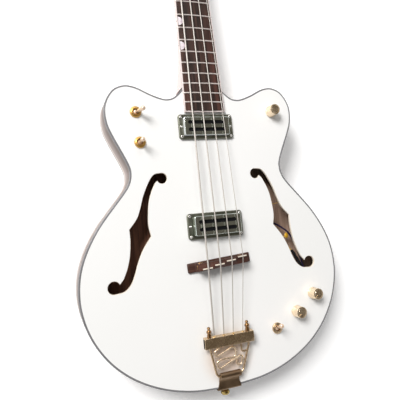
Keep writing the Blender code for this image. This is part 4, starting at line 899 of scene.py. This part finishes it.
def build_tuners():
    roof, height = -HEAD_THICKNESS - GAP, 10 * MM
    floor, level = roof - 0.7 * height, roof - height / 2
    for number, (x, y) in enumerate(mm(0, *POST_PLACES), 1):
        sideways = spin("Y", copysign(pi / 2, x))
        place = HEAD @ at(x, y)
        profile = mm(0, (0, 19.4), (3.2, 19.6), (4.6, 20), (5.4, 19.8), (5.85, 19.2), (6, 18.4))
        profile += mm(POST_STRING_HEIGHT, (6, 6), (5.8, 5.2), (5.2, 4.4), (5, 3.6), (5, -3.6),
                      (5.2, -4.4), (5.8, -5.2), (6, -6))
        profile += mm(floor + GAP, (6, 0), (0, 0))
        notch = moved(block(0.9 * MM, 8 * MM, 15.5 * MM, 22 * MM), spin("Z", 0.5))
        name = f"tuner_post_{number}"
        piece(f"tuner_post_turned_{number}", carved(lathe(profile, 40), [notch]), GOLD, name,
              body=name, place=place)

        collar = mm(0, (6.4, 2.6), (7.6, 2.6), (8.2, 2.2), (8.4, 1.2), (8.4, 0.1), (6.4, 0.1))
        washer = mm(0, (8.5, 1), (9.6, 0.9), (10, 0.5), (10, 0.1), (8.5, 0.1))
        piece(f"tuner_ferrule_{number}", joined([lathe(collar, 6), lathe(washer)]), GOLD,
              place=place)

        case = block(12 * MM, 16 * MM, roof - height, roof, 2 * MM, 4)
        flange = plate(rounded_rectangle(24 * MM, 42 * MM, 4 * MM), [], roof - 1.6 * MM, roof,
                       0.3 * MM, 0.6 * MM)
        case = carved(case, [flange], "UNION")
        well = lathe(mm(5 * MM, (0, 0), (6.3, 0)) + mm(floor, (6.3, 0), (0, 0)), 40)
        bore = lathe(mm(0, (0, 20), (2.8, 20), (2.8, 6.9), (0, 6.9)), 24)
        case = carved(case, [well, moved(bore, at(0, 0, level) @ sideways)])
        piece(f"tuner_case_{number}", case, GOLD, f"tuner_housing_{number}", place=place)
        places = [place @ at(0, dy * MM, roof - 1.6 * MM) @ spin("X", pi) for dy in (-18.4, 18.4)]
        piece(f"tuner_screws_{number}", copies(screw_head(2, 0.9), places), GOLD)
        name = f"tuner_key_{number}"
        piece(f"tuner_key_cast_{number}", key_mesh(), GOLD, name, body=name,
              place=place @ at(0, 0, level) @ sideways)


def key_mesh():
    """A key's shaft with its collar, and its ear-shaped paddle."""
    start, collar = POST_RADIUS + 4 * GAP, 12 * MM + GAP
    neck_end = start + 16 * MM
    profile = mm(neck_end, (0, 4), (2.5, 4)) + mm(collar, (2.25, 5), (2.5, 3), (3.5, 2.7), (3.7, 2),
                                                  (3.7, 0.5), (3.4, 0), (2.5, 0))
    shaft = lathe(profile + mm(start, (2.5, 0), (0, 0)), 32)
    half = mm(neck_end, (2.5, 0), (5.6, 1.6), (9, 3), (11.8, 6.2), (12.5, 10), (12.1, 14),
              (10.5, 17.2), (6, 19.4), (0, 20))
    paddle = plate(mirrored(smooth_curve(half, 4)), [], -3 * MM, 3 * MM, 2.2 * MM, 2.2 * MM)
    return carved(shaft, [moved(paddle, spin("X", pi / 2))], "UNION")


# Strings

def bridge_x(number):
    return BRIDGE_SHIFT + (number - 1.5) * BRIDGE_SPACING


def string_ends(number):
    """Where a string leaves the tailpiece, the saddle, both edges of the nut, and its post."""
    radius = STRING_RADII[number]
    x, x_nut = bridge_x(number), (number - 1.5) * NUT_SPACING
    height = STRING_LIFT_NUT + crown(x_nut) + radius
    low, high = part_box("tailpiece_bar")
    post_x, post_y = POST_PLACES[number]
    inward = -copysign(POST_WAIST + radius + GAP, post_x)
    return [Vector(((number - 1.5) * TAIL_SPACING, high.y + radius, (low.z + high.z) / 2)),
            Vector((x, SADDLE_STEPS[number],
                    BOARD_AT_BRIDGE + STRING_LIFT_BRIDGE + crown(x) + radius)),
            NECK @ Vector((x_nut, SCALE_LENGTH - 1 * MM, height)),
            NECK @ Vector((x_nut, HEAD_START + 0.5 * MM, height)),
            HEAD @ Vector((post_x * MM + inward, post_y * MM, POST_STRING_HEIGHT))]


def build_strings():
    for number, ((post_x, post_y), radius) in enumerate(zip(mm(0, *POST_PLACES), STRING_RADII), 1):
        path = rounded_path(string_ends(number - 1), (8 * MM, 2 * MM, 2 * MM), 6)
        piece(f"wound_string_{number}", wire(path, 0.9 * radius, 14), WOUND, f"string_{number}")
        reach, pitch = POST_WAIST + radius + GAP, 2 * radius + 0.1 * MM
        start, way = (0, 1) if post_x < 0 else (pi, -1)
        coil = []
        for step in range(int(36 * 3.5 * MM / pitch) + 1):
            angle = start + way * 2 * pi * step / 36
            coil.append(Vector((reach * cos(angle), reach * sin(angle),
                                POST_STRING_HEIGHT - pitch * step / 36)))
        piece(f"string_winding_{number}", wire(coil, radius), WOUND, body=f"tuner_post_{number}",
              place=HEAD @ at(post_x, post_y))


# Pickups

SLOT_LENGTH, SLOT_WIDTH, SLOT_CORNER = 58 * MM, 5.4 * MM, 2.6 * MM
SLOT_X, SLOT_Y = -1.2 * MM, 5.6 * MM                    # middle of the upper slot on its cover
RING_LEVEL, SCREW_INSET = 4 * MM, 3.8 * MM


def build_pickup(name):
    low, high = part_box("pickup_cover_" + name)
    place = at((low.x + high.x) / 2, (low.y + high.y) / 2, TOP)
    length, width = high.x - low.x, high.y - low.y
    depth, rise = low.z - TOP, high.z - TOP
    ring_low, ring_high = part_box("pickup_ring_" + name)
    ring_length, ring_width = ring_high.x - ring_low.x, ring_high.y - ring_low.y
    opening = rounded_rectangle(length + 2 * GAP, width + 2 * GAP, 2.5 * MM)
    ring = plate(rounded_rectangle(ring_length, ring_width, 4 * MM), [opening], GAP, RING_LEVEL,
                 1 * MM, hole_edge=0.5 * MM)
    piece("pickup_surround_" + name, ring, RING, "pickup_ring_" + name, place=place)
    x, y = ring_length / 2 - SCREW_INSET, ring_width / 2 - SCREW_INSET
    for kind, screw, spots in (
            ("screws", screw_head(2.1, 1.2), ((-x, -y), (-x, y), (x, -y), (x, y))),
            ("height_screws", screw_head(1.8, 1, 0.2), ((-x, 0), (x, 0)))):
        places = [place @ at(*spot, RING_LEVEL) for spot in spots]
        piece(f"pickup_{kind}_{name}", copies(screw, places), NICKEL)

    cover = plate(rounded_rectangle(length, width, 2.2 * MM), [], depth, rise, 1.1 * MM)
    hollow = rounded_rectangle(length - 2 * COVER_WALL, width - 2 * COVER_WALL, 1.4 * MM)
    cutters = [plate(hollow, [], depth - 5 * MM, rise - COVER_WALL)]
    for side in (-1, 1):
        slot = rounded_rectangle(SLOT_LENGTH, SLOT_WIDTH, SLOT_CORNER, (SLOT_X, side * SLOT_Y))
        cutters.append(plate(slot, [], rise - 3 * COVER_WALL, rise + 5 * MM))
    cover = carved(cover, cutters)
    for face in cover.polygons:
        x, y, _ = face.center
        outward = face.normal.x * x + face.normal.y * y > 0 and abs(face.normal.z) < 0.7
        rim = abs(x) > length / 2 - 0.9 * MM or abs(y) > width / 2 - 0.9 * MM
        face.material_index = outward and rim
    # The neck cover's outer walls get the painted highlight; the bridge cover's stay chrome
    walls = PAINTED_HIGHLIGHT_METAL if name == "neck" else CHROME
    piece("pickup_shell_" + name, cover, [CHROME, walls], "pickup_cover_" + name, place=place)
    dressed("pickup_core_" + name, CORE_AND_PAINTED_SHADE_BLACK)


# Bridge

STUD_X, THREAD_PITCH = 31 * MM, 0.8                     # the pitch in millimetres
BAR_END, BAR_UNDERSIDE, BAR_LOWERING = 38 * MM, 14.5 * MM, 1.3 * MM
STRIP_HALF, STRIP_END_DROP = 7.1 * MM, 0.4 * MM
# Section of the saddle bar: its front and its rear over the underside, its crown round the crest
BAR_FRONT = [(-5, 0), (5, 0), (5.5, 0.5), (5.5, 3.4), (5, 4.1)]
BAR_CROWN = [(2, -0.7), (1.5, -0.1), (0, 0), (-1.5, -0.1), (-2, -0.7)]
BAR_REAR = [(-5, 4.1), (-5.5, 3.4), (-5.5, 0.5)]
STRIP = [(-0.9, -4), (0.9, -4), (0.9, -0.5), (0.54, -0.1), (0, 0), (-0.54, -0.1), (-0.9, -0.5)]


def saddle_middle(number):
    return SADDLE_STEPS[number] - bridge_x(number) * tan(BRIDGE_ANGLE)


def saddle_sections():
    """The saddle bar along its length, its crown stepped forward for each thinner string."""
    centres = [bridge_x(number) for number in range(4)]
    breaks = [-BAR_END] + [(a + b) / 2 for a, b in zip(centres, centres[1:])] + [BAR_END]
    sections = []
    for number, centre in enumerate(centres):
        near, far = breaks[number] + 0.2 * MM, breaks[number + 1] - 0.2 * MM
        for x in (near, (near + centre) / 2, centre, (far + centre) / 2, far):
            crest = SADDLE_CREST + crown(x) - BAR_LOWERING
            section = mm(BAR_UNDERSIDE, *BAR_FRONT)
            section += mm(crest, *BAR_CROWN, shift=saddle_middle(number))
            section += mm(BAR_UNDERSIDE, *BAR_REAR)
            sections.append([(x, *pair) for pair in section])
    return sections


def saddle_strip(number):
    """A bone strip set on edge in the crown, with its upper edge rounded for the string."""
    sections = []
    for share in (-1, -0.96, -0.6, -0.2, 0.2, 0.6, 0.96, 1):
        x = bridge_x(number) + STRIP_HALF * share
        top = SADDLE_CREST + crown(x) - (STRIP_END_DROP if abs(share) == 1 else 0)
        sections.append([(x, *pair) for pair in mm(top, *STRIP, shift=saddle_middle(number))])
    return loft(sections, 50)


def build_bridge():
    dressed("bridge_foot", BRIDGE_WOOD, 0.5 * MM)
    piece("bridge_saddle_wood", loft(saddle_sections(), 28), BRIDGE_WOOD, "bridge_saddle",
          body="bridge_saddle", place=BRIDGE)
    strips = joined([saddle_strip(number) for number in range(4)])
    piece("bridge_bone_strips", strips, BONE, body="bridge_saddle", place=BRIDGE)
    thread = [(0, 14.6), (1.7, 14.6)]
    for turn in range(12):
        thread += [(2, 14.2 - THREAD_PITCH * turn), (1.7, 13.8 - THREAD_PITCH * turn)]
    stud = mm(0, *thread, (1.7, 4.5), (0, 4.5))
    for name, x in (("bass", -STUD_X), ("treble", STUD_X)):
        place = BRIDGE @ at(x)
        piece("bridge_stud_" + name, lathe(stud, 24), GOLD, body="bridge_saddle", place=place)
        wheel = "bridge_wheel_" + name
        low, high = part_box(wheel)
        profile = mm(high.z - TOP, (2.3, -0.2), (2.6, 0), (5.6, 0), (6.3, -0.35), (6.5, -0.7))
        profile += mm(low.z - TOP, (6.5, 0.7), (6.3, 0.35), (5.6, 0), (2.6, 0), (2.3, 0.2))
        mesh = lathe(profile, 144, 36, 0.3 * MM, range(3, 7))
        piece("bridge_thumbwheel_" + name, mesh, DARK_PAINTED_SHADE_GOLD, wheel, body=wheel, place=place)


# Tailpiece

# Corners of the bent wire and of its hook: x, and y back from the bar's rear face
WIRE_CORNERS = [(8.6, -22.3), (10, -30), (16, -29.5), (20.3, -15), (-19.2, -30.8), (-21, -20.2),
                (-14.5, -17.6), (8.3, -18.2), (9, -1), (-22.3, -13.1), (-24, -5.4), (-16.5, -1.8)]
WIRE_BENDS = [3.5 * MM] * 6 + [5.5 * MM] * 2 + [3.5 * MM] * 2
HOOK_CORNERS = [(17.6, -1.8), (17.6, -12.8), (25, -12)]
FINIAL = [(0, 15), (1.1, 14.8), (1.9, 14.2), (2.4, 13.4), (2.45, 12.6), (2.1, 11.9), (1.7, 11.3),
          (1.9, 10.7), (2.9, 10), (3.45, 9.1), (3.6, 8), (3.4, 6.9), (2.8, 6), (2.3, 5.4),
          (2.3, 4.8), (2.9, 4.3), (3, 3.6), (3, 0), (0, 0)]


def build_tailpiece():
    low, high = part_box("tailpiece_bar")
    level, rod_x = low.z + 3.5 * MM, 29.5 * MM
    hinge = Vector((-2 * MM, TAIL_EDGE + 20 * MM, TOP + 8.5 * MM))
    seat = high.y - 1.5 * MM                            # upper edge of the bar's sloping face
    forward = spin("X", -pi / 2)
    profile = [(low.y, low.z), (high.y, low.z), (seat, high.z), (low.y, high.z)]
    bar = loft([[(x, y, z) for y, z in profile] for x in (low.x, high.x)], 50, 0.5 * MM)

    def filling(x, half, wall, rounding=0.0):
        return box_mesh((x - half, low.y + wall, low.z + wall),
                        (x + half, seat - wall, high.z - wall), rounding)

    tools = [filling(x, 3 * MM, 0.8 * MM) for x in (low.x, high.x)]
    # Black blocks in the pockets at the bar's ends: painted shade for the dark inside of the open
    # ends
    inserts = [filling(x, 1.4 * MM, 0.9 * MM, 0.3 * MM)
               for x in (low.x + 1.6 * MM, high.x - 1.6 * MM)]
    piece("tailpiece_end_painted_shade", joined(inserts), CORE_AND_PAINTED_SHADE_BLACK)
    for x in (-rod_x, rod_x):
        for radius, start in ((2.1, low.y - 5 * MM), (3.3, seat)):
            length = high.y + 5 * MM - start
            hole = lathe(mm(length, (0, 0), (radius, 0)) + mm(0, (radius, 0), (0, 0)), 32)
            tools.append(moved(hole, at(x, start, level) @ forward))
    piece("tailpiece_box_bar", carved(bar, tools), BAR_GOLD, "tailpiece_bar")
    grommets = []
    for number, radius in enumerate(STRING_RADII):
        bore = radius + 0.25 * MM
        ring = mm(0, (0, 0.35), (0.5, 0.55), (1, 0.3), (1.1, -0.6), (0, -0.6), shift=bore)
        entry = string_ends(number)[0]
        entry.y = (high.y + seat) / 2
        grommets.append(moved(lathe(ring, 32), at(*entry) @ forward @ spin("X", 0.2)))
    piece("tailpiece_grommets", joined(grommets), GOLD)

    corners = []
    for side in (-1, 1):
        x = side * rod_x
        route = [Vector((x, seat + 2 * MM, level)), Vector((x, low.y - 3 * MM, level)),
                 hinge + Vector((side * 20.7 * MM, 4 * MM, 0)),
                 hinge + Vector((side * 17.7 * MM, 0, 0))]
        corners += route[::-side]
    bends = [12 * MM] + [2.6 * MM] * 4 + [12 * MM]
    parts = [wire(rounded_path(corners, bends, 6), 1.6 * MM, 16)]
    places = [at(x, seat + GAP, level) @ forward for x in (-rod_x, rod_x)]
    piece("tailpiece_finials", copies(lathe(mm(0, *FINIAL), 36), places), DARK_PAINTED_SHADE_GOLD)

    def bent(corners, bends):
        """A bent wire in the plane from the bar's rear face to the hinge."""
        slope = (hinge.z - level) / (low.y - hinge.y)
        return rounded_path([Vector((x, low.y + back, level - back * slope))
                             for x, back in mm(0, *corners)], bends)

    parts.append(wire(bent(HOOK_CORNERS, [3.5 * MM]), 1.4 * MM, 14))
    piece("tailpiece_rods", joined(parts), ROD_PAINTED_SHADE_GOLD, "tailpiece_frame")
    piece("tailpiece_ornament", wire(bent(WIRE_CORNERS, WIRE_BENDS), 1.55 * MM, 16), WIRE_GOLD,
          "tailpiece_wire")
    build_bracket(hinge)


def build_bracket(hinge):
    """One strip: a curl over the hinge rod, down to the top, and over the edge of the body."""
    thickness, half, half_rim, fold = 1.6 * MM, 15.5 * MM, 18 * MM, 1.6 * MM
    curl = 1.8 * MM + 4 * GAP + thickness / 2
    level, rim_y = TOP + GAP + thickness / 2, TAIL_EDGE - GAP - thickness / 2
    path = []
    for step in range(25):
        angle = radians(165 - 245 * step / 24)
        path.append((hinge.y + curl * cos(angle), hinge.z + curl * sin(angle), half))
    under = hinge.z - curl
    ramp = [(hinge.y + curl * cos(radians(-80)), under), (hinge.y - 2 * MM, under - 0.4 * MM),
            (hinge.y - 7 * MM, level + 0.9 * MM), (hinge.y - 11 * MM, level)]
    path += [(*point, half) for point in smooth_curve(ramp, 4)[1:]]
    for step in range(7):
        angle = radians(90 + 90 * step / 6)
        path.append((rim_y + fold + fold * cos(angle), level - fold + fold * sin(angle), half_rim))
    path += [(rim_y, TOP - 39.2 * MM, half_rim), (rim_y, TOP - 40 * MM, half_rim - 0.6 * MM)]
    sections = []
    for before, (y, z, wide), after in zip(path[:1] + path, path, path[1:] + path[-1:]):
        along = Vector((after[0] - before[0], after[1] - before[1])).normalized()
        out = Vector((-along.y, along.x)) * thickness / 2
        right = [(wide - 0.3 * MM, 1), (wide, 0.55), (wide, -0.55), (wide - 0.3 * MM, -1)]
        ring = right + [(-x, share) for x, share in right[::-1]]
        sections.append([(hinge.x + x, y + out.x * share, z + out.y * share) for x, share in ring])
    piece("tailpiece_bracket_strip", loft(sections, 32), BRACKET_PAINTED_SHADE_GOLD, "tailpiece_bracket")
    places = [at(hinge.x + x, rim_y - thickness / 2, z) @ spin("X", pi / 2)
              for x, z in mm(TOP, (-12, -9), (12, -9), (-12, -33), (12, -33))]
    piece("tailpiece_bracket_screws", copies(screw_head(2.6, 1.2), places), GOLD)


# Controls

def build_knob(name):
    place = at(*JOINTS[f"knob_{name}_turn"]["pos_m"])
    low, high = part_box("knob_" + name)
    top = high.z - TOP
    profile = mm(top, (0, -0.1), (5.9, -0.1), (6.1, -0.3), (6.5, -0.3), (6.7, 0), (7.8, 0),
                 (8.15, -0.15), (8.3, -0.5), (8.4, -1.4), (8.45, -4), (8.6, -8))
    profile += mm(0, (8.9, 3.9), (9, 3.1), (9, 1.9), (8.7, 1.5), (5.2, 1.5), (5.2, 6.5), (3, 6.5))
    profile += mm(low.z - TOP, (3, 0), (0, 0))
    knob = lathe(profile, 160, 40, 0.2 * MM, range(8, 12))
    mark = box_mesh((2.2 * MM, -0.45 * MM, top - 0.45 * MM), (9 * MM, 0.45 * MM, top + 1 * MM))
    knob = carved(knob, [moved(mark, spin("Z", radians(215)))])
    piece("knob_turned_" + name, knob, PALE_GOLD, "knob_" + name, body="knob_" + name, place=place)
    washer = lathe(mm(0, (4.9, 0.9), (8, 0.9), (8.3, 0.6), (8.3, 0.05), (4.9, 0.05)), 40)
    piece("knob_washer_" + name, washer, PALE_GOLD, place=place)
    dressed("pot_" + name, STEEL)


def build_switch(name, throw, heading):
    x, y, z = JOINTS[f"switch_{name}_tilt"]["pos_m"]
    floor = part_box("switch_body_" + name)[0].z - TOP
    body = mm(0, (4.4, 3.2), (4.7, 3.5), (5.6, 3.5), (6, 3.2), (6.4, 3.15), (7.5, 2.95), (8.2, 2.4),
              (8.5, 1.7), (8.5, 0.9), (8.2, 0.3), (5.8, 0.3), (5.8, -4.3), (10.5, -4.3))
    body += mm(floor, (10.5, 0), (0, 0)) + mm(0, (0, -12), (4.4, -12))
    nut = lathe(body, 120, 24, 0.35 * MM, range(6, 10))
    finish = BAR_GOLD if name == "lower" else TOGGLE_GOLD
    piece("switch_nut_" + name, nut, finish, "switch_body_" + name, place=at(x, y, TOP))
    ball = [(4.1 * sin(angle), 4.1 * cos(angle)) for angle in (0.5, 0.8, 1.15, 1.57, 2, 2.4)]
    lever = mm(0, (0, 26), (1.4, 25.8), (2.4, 25.2), (3.1, 24.1), (3.3, 22.6), (3.2, 20), (2.8, 16),
               (2.3, 11), (2, 3.69), *ball, (1.5, -3.813), (1.5, -6), (0, -6))
    node = "switch_lever_" + name
    place = at(x, y, z) @ spin("Z", radians(heading)) @ spin("Y", radians(throw))
    piece("switch_toggle_" + name, lathe(lever, 36), LEVER_GOLD, node, body=node, place=place)


def build_jack():
    depth = JACK_LOW.x - RIM_EDGE
    tube = mm(0, (3.3, 2.5), (3.6, 2.8), (4.4, 2.8), (4.6, 2.5), (4.6, 1.2), (9, 1.2), (9.7, 1),
              (10, 0.7), (10, 0.3), (4.7, 0.3)) + mm(depth, (4.7, 0), (0, 0), (0, 1.5), (3.3, 1.5))
    nut = mm(0, (4.7, 2.6), (6.6, 2.6), (7.2, 2.2), (7.2, 1.25), (4.7, 1.25))
    piece("jack_socket", joined([lathe(tube), lathe(nut, 6)]), CHROME, "output_jack",
          place=JACK_PLACE)


BUTTON = [(0, 15.7), (1.8, 15.7), (2, 16), (3, 15.9), (4.8, 15.3), (6, 14.2), (6.6, 12.7),
          (6.6, 11.2), (6, 9.8), (5, 8.8), (4.1, 7.8), (3.7, 6.4), (3.8, 4.4), (4.6, 2.4),
          (5.5, 1.2), (5.5, 0), (0, 0)]


def build_strap_button(name, axis, share):
    """A strap button that stands along an axis, its height shared down by share."""
    low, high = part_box("strap_button_" + name)
    x, y, z = (low + high) / 2
    place = at(low.x, y, z) if axis == "Y" else at(x, high.y, z)
    button = lathe(mm(0, *[(radius, height * share) for radius, height in BUTTON]), 44)
    button = carved(button, cross(1.6 * MM, 0.3 * MM, 14.9 * share * MM, 17 * MM))
    piece("strap_knob_" + name, button, BUTTON_GOLD, "strap_button_" + name,
          place=place @ spin(axis, pi / 2))


# Floor, light and camera

FLOOR_WHITE = (0.93, 0.93, 0.93)
RESTING_GAP = 0.5 * MM
GLOW_CENTRE, GLOW_REACH, GLOW_STRENGTH = (0, 0.4, 0), (0.8, 2.4), (0.18, 0.9)
CARD_CENTRE, CARD_RADIUS, CARD_LEVEL, CARD_COLOUR = (0.84, 0), 2.6, 2.2, (0.14, 0.122, 0.1, 1)
WORLD_LIGHT = 0.27
LAMP_TARGET = Vector((0, 0.02, 0))
# Name, place, size, power and colour of each lamp
LAMPS = [("key", (-2.05, 2.0, 2.75), 1.5, 178, (1, 0.99, 0.98)),
         ("spark", (0.05, 1.5, 2.0), 0.6, 6, (1, 0.98, 0.94))]
PHOTO_WIDTH = 400
CAMERA_FOCAL = 435.235                   # focal length in pixels of the photograph
CAMERA_CENTRE = (202.107, 176.562)       # the pixel that the lens axis meets
CAMERA_TURN = (0.353, -0.112, 0.096)     # pan, tilt and roll
CAMERA_PLACE = (-0.2367, 0.0559, TOP + 0.6071)


def resting_plane():
    """The floor under the bass as it lies: it touches the tail end of the back, and the headstock
    or a tuner."""
    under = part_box("body_back")[0].z
    props = [HEAD @ Vector((0, HEAD_OUTLINE[-2][1] * MM, -HEAD_THICKNESS))]
    props += [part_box(f"tuner_{kind}_{number}")[0] for kind in ("housing", "key")
              for number in range(1, 5)]
    slope = min((prop.z - under) / (prop.y - TAIL_EDGE) for prop in props)
    return at(0, TAIL_EDGE, under - RESTING_GAP) @ spin("X", atan(slope))


def build_stage():
    """A floor that glows to the camera only, more so far away, and a card for reflections."""
    paint = Finish("floor_paint", None, FLOOR_WHITE, 0.9, specular=0.1)
    far = map_range(paint.tree, paint.distance(GLOW_CENTRE), *GLOW_REACH, *GLOW_STRENGTH)
    seen = paint.node("LightPath").outputs["Is Camera Ray"]
    glow = add_node(paint.tree, "Math", {0: seen, 1: far}, operation="MULTIPLY").outputs[0]
    feed(paint.inputs["Emission Color"], (1, 1, 1, 1))
    feed(paint.inputs["Emission Strength"], glow)
    floor = add_object("floor", moved(box_mesh((-6, -6, -0.02), (6, 6, 0)), resting_plane()))

    dark = Finish("card_paint", None, (0, 0, 0), 0.5, specular=0)
    feed(dark.inputs["Emission Color"], CARD_COLOUR)
    feed(dark.inputs["Emission Strength"], 1)
    disc = plate(circle(CARD_RADIUS, CARD_CENTRE, 64), [], CARD_LEVEL, CARD_LEVEL + 0.01)
    card = add_object("dark_card", disc)
    card.visible_camera = card.visible_diffuse = card.visible_shadow = False
    for made, finish in ((floor, paint), (card, dark)):
        made.data.materials.append(finish.material)


def build_light():
    """A white world, dim for all that is lit by it, and the lamps."""
    world = bpy.data.worlds.new("studio")
    bpy.context.scene.world = world
    world.use_nodes = True
    tree = world.node_tree
    rays = add_node(tree, "LightPath", {}).outputs
    seen = rays["Is Camera Ray"]
    for kind in ("Is Glossy Ray", "Is Transmission Ray"):
        seen = add_node(tree, "Math", {0: seen, 1: rays[kind]}, operation="MAXIMUM").outputs[0]
    background = tree.nodes["Background"].inputs
    feed(background["Color"], (1, 1, 1, 1))
    feed(background["Strength"], map_range(tree, seen, 0, 1, WORLD_LIGHT, 1, "LINEAR"))
    for name, place, size, power, colour in LAMPS:
        lamp = bpy.data.lights.new(name, "AREA")
        lamp.shape, lamp.size, lamp.energy, lamp.color = "SQUARE", size, power, colour
        made = add_object(name, lamp)
        made.location = place
        made.rotation_euler = (LAMP_TARGET - Vector(place)).to_track_quat("-Z", "Y").to_euler()
        made.visible_camera = False


def build_camera():
    lens = bpy.data.cameras.new("camera")
    lens.sensor_width, lens.sensor_fit = 36, "HORIZONTAL"
    lens.lens = CAMERA_FOCAL * lens.sensor_width / PHOTO_WIDTH
    lens.shift_x = 0.5 - CAMERA_CENTRE[0] / PHOTO_WIDTH
    lens.shift_y = CAMERA_CENTRE[1] / PHOTO_WIDTH - 0.5
    camera = add_object("camera", lens)
    pan, tilt, roll = CAMERA_TURN
    camera.matrix_world = (at(*CAMERA_PLACE) @ spin("Y", -pan) @ spin("X", -tilt)
                           @ spin("Z", -roll))
    bpy.context.scene.camera = camera


build_body()
build_wiring()
build_neck()
build_fretboard()
build_tuners()
build_strings()
build_pickup("neck")
build_pickup("bridge")
build_bridge()
build_tailpiece()
for knob in KNOBS:
    build_knob(knob)
for switch in SWITCHES:
    build_switch(*switch)
build_jack()
build_strap_button("tail", "X", 1)
build_strap_button("heel", "Y", 0.85)
build_stage()
build_light()
build_camera()
bpy.context.scene.view_settings.view_transform = "Standard"
